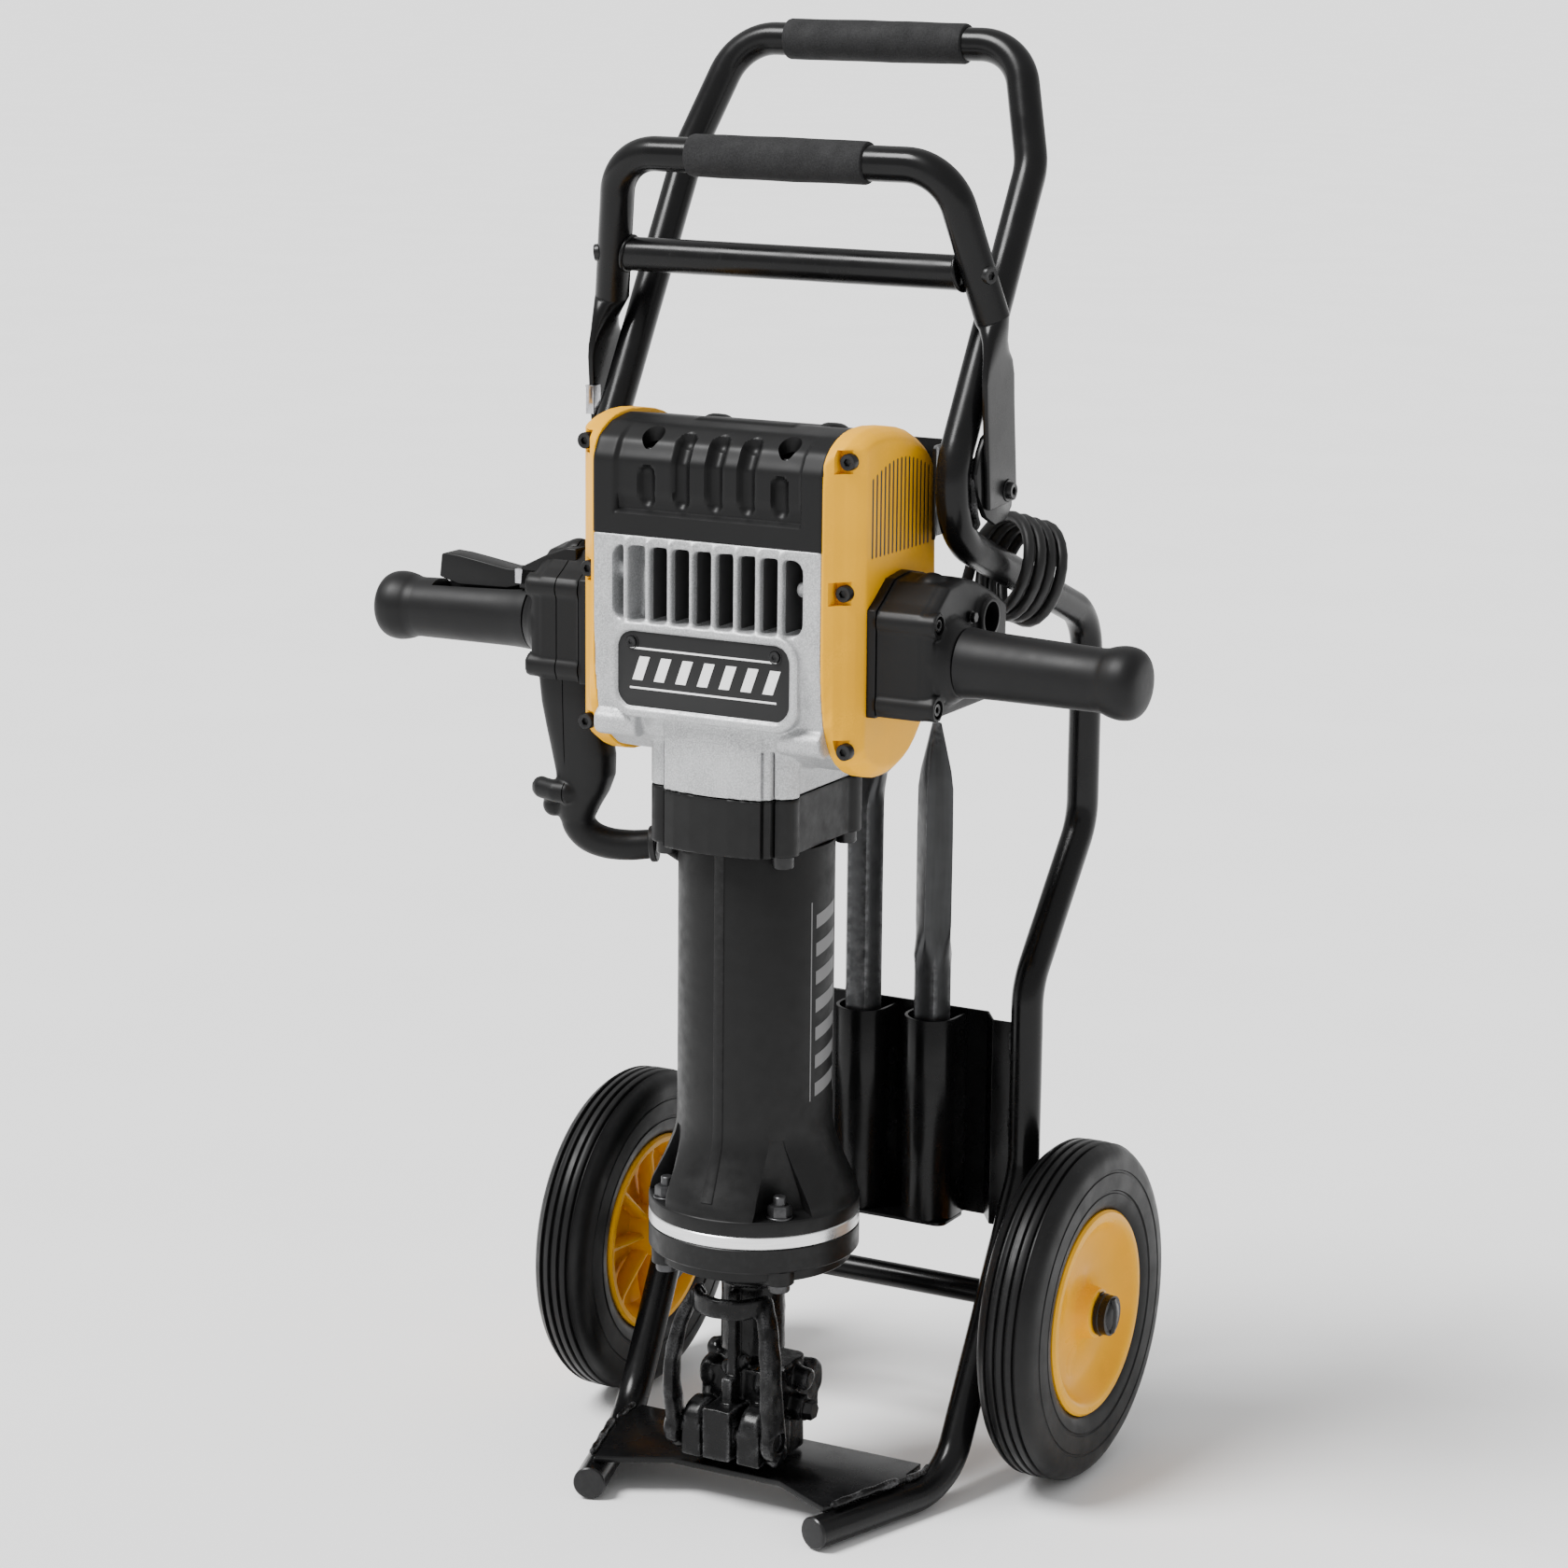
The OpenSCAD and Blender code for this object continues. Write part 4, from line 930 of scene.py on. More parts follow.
# ---------------------------------------------------------------- wheels
def make_wheel(side, sign):
    half = (TYRE[1].x - TYRE[0].x) / 2
    centre = Vector((sign * WHEEL.x, WHEEL.y, WHEEL.z))
    outward = Vector((sign, 0, 0))
    wall = [
        (80, 15), (82, 19), (86, 21.6), (91, 23.2), (95.5, half - 0.7), (96.2, half - 1.5),
        (97.6, half - 1.5), (98.4, half - 0.3), (106, half), (112, half), (112.6, half - 0.9),
        (114, half - 0.9), (114.6, half - 0.1), (121, half - 0.6), (125.5, half - 1.8),
        (129.5, half - 4.2), (132.3, half - 7.4), (133.9, half - 10.6),
    ]
    tread = []
    for mid in (11.6, 3.9):
        crown = 134.95 - 0.004 * mid * mid
        tread += [(crown, mid + 2.0), (crown - 0.5, mid + 1.5), (crown - 3, mid + 1.1),
                  (crown - 3, mid - 1.1), (crown - 0.5, mid - 1.5), (crown, mid - 2.0)]
    outer = wall + tread
    profile = outer + [(r, -d) for r, d in reversed(outer)]
    body = "wheel_" + side
    piece(body + "_tyre", lathe(profile, centre, outward, 160), "tyre", body, "tyre_" + side)

    rim = [
        (10.05, 24), (17, 24), (19.5, 23), (20.5, 20), (21.5, 13), (25, 8.6), (31, 6.4), (40, 5.6),
        (50, 6.4), (58, 8.6), (64.5, 12.4), (69, 17), (71.5, 20.6), (73.6, 22.6), (76.6, 23.4),
        (80.5, 23), (82.4, 21), (82.4, 15), (82.4, -15), (82.4, -21), (80.5, -23), (76.6, -23),
        (74.5, -21), (72.5, -15), (66, 2), (58, 4.2), (50, 2.4), (40, 1.4), (30, 0), (23.5, -4),
        (22, -12), (21.5, -23), (20, -25), (10.05, -25),
    ]
    parts = [lathe(rim, centre, outward, 128)]
    for k in range(8):
        angle = math.tau * k / 8
        out = Vector((0, math.cos(angle), math.sin(angle)))
        across = Vector((0, -math.sin(angle), math.cos(angle)))
        rings = [oval(centre + out * r + outward * (d - 5), outward, across, 8 if r < 60 else 5, 2.6, 3, 16)
                 for r, d in ((19, -6), (45, -3), (64, -4), (73, -6))]
        parts.append(loft(rings))
    piece(body + "_rim", joined(*parts), "rim", body, "rim_" + side, angle=32)

    cap = [(0, 12), (6, 11.8), (10.6, 10.6), (13.4, 8), (14.6, 4.5), (15.6, 4), (16.6, 3), (16.8, 0),
           (10.2, 0), (10.2, -1.5), (0, -1.5)]
    cap_at = centre + outward * 25.6
    ridge = sweep([cap_at + outward * 9 + Vector((0, 0, z)) for z in (-14, -8, 0, 8, 14)],
                  lambda t: (3.2, 4.6 - 9 * (t - 0.5) ** 2, 3), 20)
    tabs = [bevelled(block(cap_at + Vector((-1, -3, z - 2.5)), cap_at + Vector((1, 3, z + 2.5))), 0.6)
            for z in (-15.5, 15.5)]
    piece("hub_cap_" + side, joined(lathe(cap, cap_at, outward, 56, closed=False), ridge, *tabs),
          "screw", "trolley")


# ---------------------------------------------------------------- chisels
def hexagon(x, y, z, flats):
    """A ring shaped like a hexagon bar's section, with its corners cut 1% short."""
    ring = []
    for k in range(48):
        t = math.tau * k / 48
        reach = 1 / math.cos((t % (math.pi / 3)) - math.pi / 6)
        reach = min(reach, 2 / math.sqrt(3) * 0.99)
        ring.append(Vector((x + flats / 2 * reach * math.cos(t), y + flats / 2 * reach * math.sin(t), z)))
    return ring


def make_chisels():
    flats = 28.6
    bottom, top = box_mm("bull_point")[0].z, box_mm("bull_point")[1].z
    x, y = CHISEL_X[1], CHISEL_Y
    rings = [hexagon(x, y, bottom, flats - 2), hexagon(x, y, bottom + 1, flats), hexagon(x, y, 392, flats)]
    for z, reach, sharp in ((404, 14.6, 2.4), (416, 15, 1.5), (430, 15.8, 1.05), (500, 16, 0.98),
                            (540, 15.6, 1.02), (554, 13.6, 1.15), (574, 8.6, 1.3), (592, 4, 1.6),
                            (top - 0.6, 1.2, 2)):
        rings.append(oval((x, y, z), X, Y, reach, reach, sharp, 48))
    piece("bull_point_steel", loft(rings), "chisel", "stowed_bull_point", "bull_point", angle=25)

    bottom, top = box_mm("flat_chisel")[0].z, box_mm("flat_chisel")[1].z
    low, high = box_mm("flat_chisel")
    x = (low.x + high.x) / 2
    wide = (high.x - low.x) / 2
    rings = [hexagon(x, y, bottom, flats - 2), hexagon(x, y, bottom + 1, flats), hexagon(x, y, 520, flats)]
    for z, a, b, power in ((532, 14.6, 12.5, 2.8), (546, 17, 10, 3.4), (560, wide - 4, 7, 5),
                           (572, wide, 5.4, 9), (top - 14, wide, 3.4, 9), (top, wide - 0.5, 0.8, 9)):
        rings.append(oval((x, y, z), X, Y, a, b, power, 48))
    piece("flat_chisel_steel", loft(rings), "chisel", "stowed_flat_chisel", "flat_chisel", angle=25)


# ---------------------------------------------------------------- housing
FIN_X = [-67 + 18.6 * i for i in range(8)]
PLATE_Z = 666
NOTCHES = ((110.5, -172, 831), (108, -172, 735), (110, -172, 618))
TOP_SCREWS = (-53, 61.5)
TOP_SCREW_Y = -170.5
BOX_SCREWS = (652, 714)
BOX_SCREW_Y = -149
BORE_R = 34.5
CORNERS = [(x, HY + y) for x in (-50, 50) for y in (-50, 50)]
NECK_Z, BARREL_TOP = 574, 529
SIDE_LINE = [
    (-186, 766), (-186, 700), (-184.5, 662), (-180, 634), (-170, 613), (-150, 599), (-124, 592),
    (-98, 593), (-76, 603), (-56, 624), (-45, 650), (-42, 700), (-42, 766),
]


def neck_solids(low, high):
    """The square neck: four round corner columns joined by panels, the front one bulging."""
    columns = [post(x, y, low, high, 12, sides=48) for x, y in CORNERS]
    front = [(-41, -100), (-41, -176.5), (-30, -179.6), (-15, -181.8), (2, -182.6), (18, -181.9),
             (33, -179.8), (43, -177), (44, -174), (48.4, -172.6), (48.4, -100)]
    return columns + [
        slab(front, "xy", low, high),
        block((-57.5, -150, low), (57.5, -58, high)),
        block((-40, -110, low), (40, -32.5, high)),
    ]


def neck_grooves(low, high):
    """The thin seams beside the front panel, cut after the casting is smoothed."""
    return [block((x, -190, low), (x + w, y, high)) for x, w, y in
            ((-40.6, 1.2, -174.8), (42.6, 1.8, -173.6), (48.2, 1.4, -163))]


def make_housing():
    """The cast body: a grille in front, a framed plate below it and the neck."""
    window = round_rect(160, 56, 9, 0.5, 730)
    body = carved(slab(SIDE_LINE, "yz", -HALF, HALF),
                  slab(window, "xz", -200, -148),
                  block((-84, -148, 612), (84, -48, 780)))
    lips = [bar(s * 60, s * HALF, -176.5, 622, 10.5, sides=32) for s in (-1, 1)]
    frame_ring = carved(slab(round_rect(160, 72, 19, 0, PLATE_Z), "xz", -191.5, -180),
                        slab(round_rect(147, 59, 13.5, 0, PLATE_Z), "xz", -200, -187.6))
    fins = [joined(block((x - 1.9, -188.4, 700), (x + 1.9, -160, 760)),
                   post(x, -186.6, 700, 762, 2.3, sides=16)) for x in FIN_X]
    inside = [rod((-58, -160, 690), (-58, -156, 764), 9, sides=32),
              rod((-84, -158, 738), (-68, -172, 738), 7),
              rod((72, -170, 735), (86, -176, 735), 6)]
    shell = cast(joined(body, frame_ring, *neck_solids(NECK_Z, 632), *lips, *fins, *inside), 1.7, 3, keep=0.4)
    bolt_line = post(0, HY, 540, 606, BORE_R, sides=64)
    shell = carved(shell, bolt_line, block((-100, -200, 766), (100, 0, 790)), *neck_grooves(560, 611))
    piece("housing_shell", shell, "aluminium", "hammer", "housing_casting", angle=45)

    # Dark plates on the fins' sides, between the fins and behind the grille: painted shade in the grille's
    # gaps.
    panels = [block((a + 2.6, -158, 703), (b - 2.1, -156, 757)) for a, b in zip(FIN_X[1:], FIN_X[2:] + [85])]
    for x in FIN_X[1:]:
        panels.append(block((x - 2.5, -182, 700.5), (x + 2.6, -156, 759.5)))
    panels.append(block((-86, -150, 698), (86, -148.5, 762)))
    piece("grille_painted_shade", joined(*panels), "painted_shade", "hammer")

    plate = bevelled(slab(round_rect(148, 60, 14, 0, PLATE_Z), "xz", -188.9, -187), 0.4)
    piece("nameplate_sheet", plate, "plate", "hammer", "nameplate")
    print_y = (-189.3, -188.7)
    marks = [block((-62, print_y[0], z - 0.7), (62, print_y[1], z + 0.7)) for z in (652, 682)]
    for k in range(7):
        x = -60 + 18.4 * k
        marks.append(slab([(x, 658), (x + 8.6, 658), (x + 15, 676), (x + 6.4, 676)], "xz", *print_y))
    piece("nameplate_bars", joined(*marks), "print", "hammer")


def make_top_cover():
    """The black cover: a sheet bent over the top with a recessed front panel and flutes."""
    corners = [(-186, 766), (-186, 822), (-178, 836.5), (-160, 846), (-136, 850), (-75, 842), (-52, 828),
               (-42, 812), (-42, 766)]
    line = []
    for i, (a, b) in enumerate(zip(corners, corners[1:])):
        a, b = Vector(a), Vector(b)
        count = max(2, round((b - a).length / 1.7))
        line += [a.lerp(b, k / count) for k in range(count)]
    line.append(Vector(corners[-1]))
    for _ in range(5):
        line = [line[0]] + [(line[i - 1] + line[i] * 2 + line[i + 1]) / 4
                            for i in range(1, len(line) - 1)] + [line[-1]]
    along = [0.0]
    for a, b in zip(line, line[1:]):
        along.append(along[-1] + (b - a).length)
    outs = []
    for i in range(len(line)):
        d = (line[min(i + 1, len(line) - 1)] - line[max(i - 1, 0)]).normalized()
        outs.append(Vector((-d.y, d.x)))

    def ease(value, low, high):
        t = min(1.0, max(0.0, (value - low) / (high - low)))
        return t * t * (3 - 2 * t)

    def height(x, s):
        inside = min(78 - abs(x - 0.5), s - 17)
        panel = ease(inside, -1.2, 1.6) * (1 - ease(s, 62, 96))
        depth = panel * (2.6 + 3.2 * (1 - ease(s, 20, 34)))
        for centre, top in ((-52, 52), (-23, 84), (5, 84), (32, 84), (60, 52)):
            near = min(max(s, 27), top - 7)
            away = math.hypot(x - centre, s - near) / 7.3
            if away < 1:
                depth = max(depth, 8.6 * math.sqrt(1 - away * away) + 0.8 * panel)
        on_top = ease(s, 108, 112) * (1 - ease(s, 160, 164)) * ease(42 - abs(x - 8), 0, 1.5)
        return 0.9 * on_top - depth - 0.6 * ease(abs(x), 94.6, 96)

    grid_x = [-96, -95.2, -94.4] + [-93 + 1.5 * i for i in range(125)] + [94.4, 95.2, 96]
    rings = []
    for x in grid_x:
        outer = [Vector((x, p.x + n.x * height(x, s), p.y + n.y * height(x, s)))
                 for p, n, s in zip(line, outs, along)]
        inner = [Vector((x, p.x - n.x * 10, max(765.8, p.y - n.y * 10))) for p, n in zip(line, outs)]
        rings.append(outer + inner[::-1])
    scoops = [post(x, TOP_SCREW_Y, 823, 880, 8.6) for x in TOP_SCREWS]
    slots = [block((x, -132, 840), (x + 2.2, -104, 860)) for x in (68, 73, 78, 83, 88)]
    cover = carved(loft(rings), *scoops, *slots)
    piece("top_cover_skin", cover, "plastic", "hammer", "top_cover", angle=42)
    # Dark floors under the screw scoops and under the air slots: painted shade.
    floor = [post(x, TOP_SCREW_Y, 818, 824, 9.5) for x in TOP_SCREWS]
    floor.append(block((64, -136, 838), (94, -100, 841)))
    humps = [lathe([(0, 2.6), (5, 2.4), (8, 1.5), (10.4, 0), (10.4, -2), (0, -2)], (x, -96, 845.2),
                   (0, 0.13, 1), 32, closed=False) for x in (-40, 58)]
    piece("top_cover_shade_floors", joined(*floor), "painted_shade", "hammer")
    piece("top_cover_bosses", joined(*humps), "plastic", "hammer")
    heads = [socket_screw((x, TOP_SCREW_Y, 824), Z, 5, 5.5) for x in TOP_SCREWS]
    piece("top_cover_screws", joined(*heads), "zinc", "hammer")


def make_side_covers():
    """The yellow end covers, with air slots and notches for their screws."""
    rim = [
        (-186, 826), (-178, 838.5), (-160, 848.5), (-136, 852.5), (-100, 849.5), (-75, 843), (-52, 829),
        (-41, 812), (-40, 770), (-39.5, 745), (-38, 715), (-42, 652), (-54, 624), (-75, 602), (-96, 592),
        (-118, 588.5), (-144, 594), (-166, 608), (-179, 630), (-184.5, 660), (-186, 700), (-186, 760),
    ]

    smooth = smooth_outline(rim, 1)

    def inset(width, front):
        """The cover's outline, smaller by width all round and flat in front."""
        return [(max(y, front), z) for y, z in scaled_outline(smooth, -width)]

    levels = ((95.6, -186, 0.3), (97, -185.2, 0), (103, -179.3, 0), (108, -173.2, 0), (110, -171.3, 0.8),
              (114.6, -166, 3.6), (117.4, -161.8, 6.4), (118.8, -159.4, 8.4), (119.1, -158.4, 10))
    skin = loft([[Vector((x, y, z)) for y, z in inset(width, front)] for x, front, width in levels])
    inside = slab(inset(14, -153), "yz", 90, 113.5)
    notches = [block((x - 8, -200, z - 8.6), (x + 8, y + 3.4, z + 8.6)) for x, y, z in NOTCHES]
    slots, shade = [], []
    for k in range(15):
        y = -150 + 6.4 * k
        high = 816 + 12 * math.sin(math.pi * (y + 153) / 96)
        middle = (758 + high) / 2
        slots.append(slab(round_rect(2.9, high - 758, 1.4, y, middle, 3), "yz", 108, 125))
        shade.append(slab(round_rect(2.6, high - 758.4, 1.2, y, middle, 3), "yz", 112, 118.9))
    cover = carved(cast(skin, 1.3, 2, keep=0.4), inside, *notches, *slots)
    # The dark plate behind the slots and the dark slabs set flush in each slot are painted shade.
    dark = slab(inset(14.4, -152), "yz", 111.4, 112.6)
    screws = [socket_screw((x, y + 2.6, z), -Y, 6.2, 5.6)
              for x, y, z in NOTCHES]
    for side, turn in (("right", lambda s: s), ("left", mirrored)):
        piece("cover_" + side + "_skin", turn(cover), "yellow", "hammer", "cover_" + side, angle=32)
        piece("cover_" + side + "_slot_shade", turn(joined(dark, *shade)), "painted_shade", "hammer")
    washer = lathe([(4.9, 0), (5.6, 0), (5.6, 0.5), (4.9, 0.5)], (60.7, -188.9, 686.5), -Y, 40)
    plate_screws = joined(socket_screw((60.7, -188.8, 686.5), -Y, 4.3, 2.2, key=0.45), washer)
    box_screws = [socket_screw((168.4, BOX_SCREW_Y, z), X, 5, 5) for z in BOX_SCREWS]
    piece("housing_screw_heads", both_sides(joined(*screws, plate_screws, *box_screws)), "screw", "hammer",
          "housing_screws")


# ---------------------------------------------------------------- handles
def make_handle_boxes():
    outline = [(-156, 643), (-156, 721), (-146, 727), (-128, 740), (-104, 743), (-80, 738), (-52, 727),
               (-28, 714), (-28, 652), (-40, 643)]

    def groove(x0, x1, depth):
        """A cutter for a parting line round the box."""
        return carved(slab(scaled_outline(outline, 6), "yz", x0, x1),
                      slab(scaled_outline(outline, -depth), "yz", x0 - 6, x1 + 3))

    flange = slab(scaled_outline(outline, 1.6), "yz", 118.2, 126.5)
    body = slab(outline, "yz", 126, 161)
    side = loft([[Vector((x, y, z)) for y, z in scaled_outline(outline, -grow)]
                 for x, grow in ((158, 0.4), (166, 0.8), (171, 2.6))])
    posts = [bar(126, 174.2, BOX_SCREW_Y, z, 9.6, sides=32) for z in (652.4, 713.4)]
    dome = lathe([(0, 13.6)] + [(13.6 * math.sin(t), 13.6 * math.cos(t)) for t in
                                degrees(15, 105, 15)] + [(0, -4)],
                 (151, -116, 733), (0.25, 0, 1), 40, closed=False)
    flare = [(0, 150), (33, 150), (33, 170), (31.6, 174), (29.5, 177.5), (27.6, 180), (26.6, 183), (0, 183)]
    collar = lathe(flare, (0, GRIP_Y, GRIP_Z), X, 72, closed=False)
    boss = bar(140, 177, -68, 708, 15.6, edge=1)
    solid = cast(joined(flange, body, side, *posts, dome, collar, boss), 1.3, 2, keep=0.4)
    sockets = [bar(168.4, 180, BOX_SCREW_Y, z, 7, sides=32) for z in BOX_SCREWS]
    seam = groove(126.2, 127.4, 1.2)
    bore = bar(158, 181, -68, 708, 12.2, sides=48)
    hollow = block((112, -143, 655), (150, -40, 706))
    right = carved(solid, seam, bore, hollow, *sockets)
    left = mirrored(carved(solid, seam, groove(146.4, 147.4, 1), bore, hollow, *sockets))
    piece("handle_box_right_skin", right, "plastic", "hammer", "handle_box_right", angle=40)
    piece("handle_box_left_skin", left, "plastic", "hammer", "handle_box_left", angle=40)
    bolt = hex_head((172.5, -93, 712), X, 4.2, 3, washer=0.8)
    piece("handle_box_bolts", both_sides(bolt), "screw", "hammer")


def make_grips():
    """Rubber grips with a bulb at the tip. The left one has a trough for the trigger."""
    start = 183
    reach = 326 - start
    r = 24
    body = [(26.2, 0.8), (25.8, 6), (24.9, 18), (r + 0.4, 40), (r - 0.1, 70), (r - 0.6, reach - 42),
            (r - 0.7, reach - 36), (r - 0.1, reach - 31), (r + 1.4, reach - 26.5), (26.6, reach - 21),
            (26.9, reach - 16), (26, reach - 10), (23.4, reach - 5.4), (18.4, reach - 2.2), (10, reach - 0.5),
            (0, reach)]
    profile = [(p.x, p.y) for p in curve_through([(a, b, 0) for a, b in body], 4)]
    drop = math.radians(1.2)
    grip = lathe([(0, 0.8)] + profile[:-1] + [(0, reach)], (start, GRIP_Y, GRIP_Z),
                 (math.cos(drop), 0, -math.sin(drop)), 96, closed=False)
    piece("grip_right_rubber", grip, "grip", "hammer", "grip_right", angle=50)
    trough = block((-274, GRIP_Y - 12.5, 693), (-180, GRIP_Y + 12.5, 730))
    piece("grip_left_rubber", carved(mirrored(grip), trough), "grip", "hammer", "grip_left", angle=50)

    outline = [(-268, 709), (-266, 727), (-262, 728), (-250, 727.2), (-232, 724.6), (-206, 720.6),
               (-190, 721), (-184, 719), (-184, 711), (-206, 705), (-250, 704)]
    lever = bevelled(slab(outline, "xz", -132.6, -111.4), 1.3, 3)
    piece("trigger_lever_body", lever, "plastic", "trigger_lever", "trigger")
    outline = [(-192, 707), (-190, 724), (-180, 729), (-168, 735), (-150, 742), (-140, 742), (-140, 707)]
    fairing = slab(outline, "xz", -138, -106)
    slot = block((-194, -133.6, 700), (-176, -110.4, 750))
    piece("trigger_fairing", bevelled(carved(fairing, slot), 1.6, 3), "plastic", "hammer")


def make_cord_boot():
    """The duct under the left box, its knob and the sleeve that bends in to the barrel."""
    levels = [
        (-150, -127, 654, 23, 17.5, 6), (-149.6, -127, 640, 24, 17.5, 5), (-148, -127, 622, 24.6, 17.2, 4),
        (-144.5, -126.5, 602, 25, 16.8, 3.4), (-140.5, -126, 582, 25.2, 16.4, 3),
        (-139.5, -125, 566, 23.4, 16.2, 2.8), (-142.5, -124, 552, 20.6, 16, 2.5),
        (-147, -123, 540, 17.4, 15.4, 2.2), (-149.5, -122, 530, 14.6, 13.6, 2),
        (-149.6, -121.5, 524, 11.5, 11.5, 2),
    ]
    rings = [oval((x, y, z), X, Y, a, b, power, 56) for x, y, z, a, b, power in levels]
    knob = sweep([(-175, -134, 553), (-172, -137, 553), (-158, -140, 552), (-149, -139, 551.5),
                  (-145, -135, 551)], lambda t: (7.6, 8.6), 28)
    heel = lathe([(0, 10)] + [(9.4 * math.sin(t), 10 * math.cos(t)) for t in
                              degrees(20, 160, 20)] + [(0, -10)],
                 (-166, -128, 539), (0.35, 0, 1), 32, closed=False)
    path = curve_through([(-149.5, -121.5, 536), (-148, -121, 524), (-140, -118, 514.5),
                          (-127, -113.5, 509.6), (-112, -107.5, 508.4), (-100, -103, 509.4),
                          (-91, -99.4, 510.8)], 6)
    sleeve = sweep(path, lambda t: 13.4 - 2.2 * t, 32)
    solid = cast(joined(loft(rings), knob, heel, sleeve), 1.3, 3, keep=0.45)
    seam = carved(loft([oval(r[0].lerp(r[28], 0.5), X, Y, 40, 40, 2, 8) for r in rings[:8]]),
                  block((-400, -400, 400), (-149.2, 400, 800)), block((-148.4, -400, 400), (400, 400, 800)))
    front = carved(seam, block((-400, -141.4, 400), (400, 400, 800)))
    piece("cord_boot_duct", carved(solid, front), "plastic", "hammer", "cord_boot", angle=50)
    ring = [(5, 0), (13.4, 0), (14.2, 0.8), (14.2, 4.4), (13.4, 5.2), (5, 5.2)]
    piece("cord_boot_end", lathe(ring, (-95.6, -101.2, 510), (0.93, 0.36, 0.1), 40), "cord", "hammer")


# ---------------------------------------------------------------- barrel and nose
STUD_ANGLES = degrees(45, 315, 90)
STUDS = [(70 * math.cos(t), HY + 70 * math.sin(t)) for t in STUD_ANGLES]
FLARE = [(60, BARREL_TOP), (60, 312), (60.5, 304), (62, 296), (65.4, 286), (70.4, 274), (75.6, 263),
         (79, 256), (80.6, 251), (81, 246.6)]


def flare_radius(z):
    for (r0, z0), (r1, z1) in zip(FLARE, FLARE[1:]):
        if z1 <= z <= z0:
            return r0 + (r1 - r0) * (z0 - z) / (z0 - z1)
    return FLARE[-1][0]


def on_barrel(angle, z, out=0.0):
    t = math.radians(angle)
    r = flare_radius(z) + out
    return Vector((r * math.cos(t), HY + r * math.sin(t), z))


def curved_patch(corners, z_low, z_high, low, high, steps=6):
    """A thin patch lying on the barrel. corners gives its two edge angles at a height."""
    rings = []
    for k in range(steps + 1):
        z = z_low + (z_high - z_low) * k / steps
        a, b = corners(k / steps)
        angles = [a + (b - a) * j / 5 for j in range(6)]
        rings.append([on_barrel(t, z, high) for t in angles] + [on_barrel(t, z, low) for t in angles[::-1]])
    return loft(rings)


def make_collar_and_barrel():
    collar = cast(joined(*neck_solids(BARREL_TOP + 0.4, NECK_Z - 0.6)), 1.3, 1, keep=0.4)
    collar = carved(collar, post(0, HY, 510, 590, BORE_R, sides=64), *neck_grooves(510, 590))
    piece("collar_casting", collar, "barrel", "hammer", "gearbox_collar", angle=45)
    bolts = [joined(socket_screw((x, y, BARREL_TOP + 0.6), -Z, 8.2, 9.5),
                    post(x, y, BARREL_TOP, 590, 6))
             for x, y in CORNERS]
    piece("collar_bolt_heads", joined(*bolts), "screw", "hammer", "collar_bolts")

    inner = [(52, BARREL_TOP), (52, 420), (34, 412), (34, 400), (22.3, 396), (22.3, 332), (34, 326),
             (34, 234.8)]
    base = [(81.3, 246.2), (81.7, 245.8), (82, 244.8), (82, 235.4), (81.4, 234.7)]
    profile = [(r, z) for r, z in FLARE + base + inner[::-1]]
    tube = lathe(profile, (0, HY, 0), Z, 144)
    pocket = ((246.4, 22.5, 56.5), (262, 18.5, 57.2), (280, 12.6, 58), (297, 7, 58.6), (304, 5.4, 59.4))
    cuts = []
    for t in STUD_ANGLES:
        out, across = Vector((math.cos(t), math.sin(t), 0)), Vector((-math.sin(t), math.cos(t), 0))
        rings = []
        for z, half, back in pocket:
            near, far = Vector((0, HY, z)) + out * back, Vector((0, HY, z)) + out * 100
            rings.append([near - across * half, far - across * half * 1.12, far + across * half * 1.12,
                          near + across * half])
        cuts.append(loft(rings))
    tube = bevelled(carved(tube, *cuts), 0.8, 2, 35)
    ridge = ((-4, -1), (-3.7, 0.7), (-3.2, 1), (3.2, 1), (3.7, 0.7), (4, -1))
    levels = [BARREL_TOP - 0.4, 420] + [330 - 8 * k for k in range(9)] + [258]
    seam = loft([[on_barrel(-89 + a, z, out) for a, out in ridge] for z in levels])
    piece("barrel_casting", tube, "barrel", "hammer", "barrel", angle=34)
    piece("barrel_seam", seam, "barrel", "hammer", angle=60)

    marks = [curved_patch(lambda t, a=a: (a, a + 1.1), 331, 487, -0.3, 0.22, 3) for a in (-17.5, 20)]
    section = ((0, -0.3), (10.5, -0.3), (10.5, 0.22), (0, 0.22))
    rise = 7
    for k in range(7):
        rings = []
        for j in range(13):
            z = 334 + 22 * k + rise * j / 12
            rings.append([on_barrel(2.4 * j - 12, z + up, out) for up, out in section])
        marks.append(loft(rings))
    piece("barrel_bars", joined(*marks), "decal", "hammer")


def make_flange():
    piece("flange_bright_ring", pipe((0, HY, 224.6), (0, HY, 234.4), 81.9, 60, 0.7, 144), "ring", "hammer",
          "flange_ring")
    profile = [(34, 196.2), (74.6, 196.2), (75.8, 197.4), (76, 204.2), (78.4, 204.6), (81, 205.2),
               (81.9, 206.4), (81.9, 223.6), (81.2, 224.4), (34, 224.4)]
    lobes = [post(x, y, 194, 206, 11.8, sides=32, edge=0.8) for x, y in STUDS]
    piece("nose_flange_casting", joined(lathe(profile, (0, HY, 0), Z, 144), *lobes), "barrel", "hammer",
          "nose_flange", angle=34)
    bolts = []
    for x, y in STUDS:
        bolts += [hex_head((x, y, 246.4), Z, 9.5, 8.4, washer=1.6, stud=7), post(x, y, 196, 250, 6),
                  socket_screw((x, y, 195), -Z, 8.6, 7.5)]
    piece("flange_nuts", joined(*bolts), "zinc", "hammer", "flange_bolts")


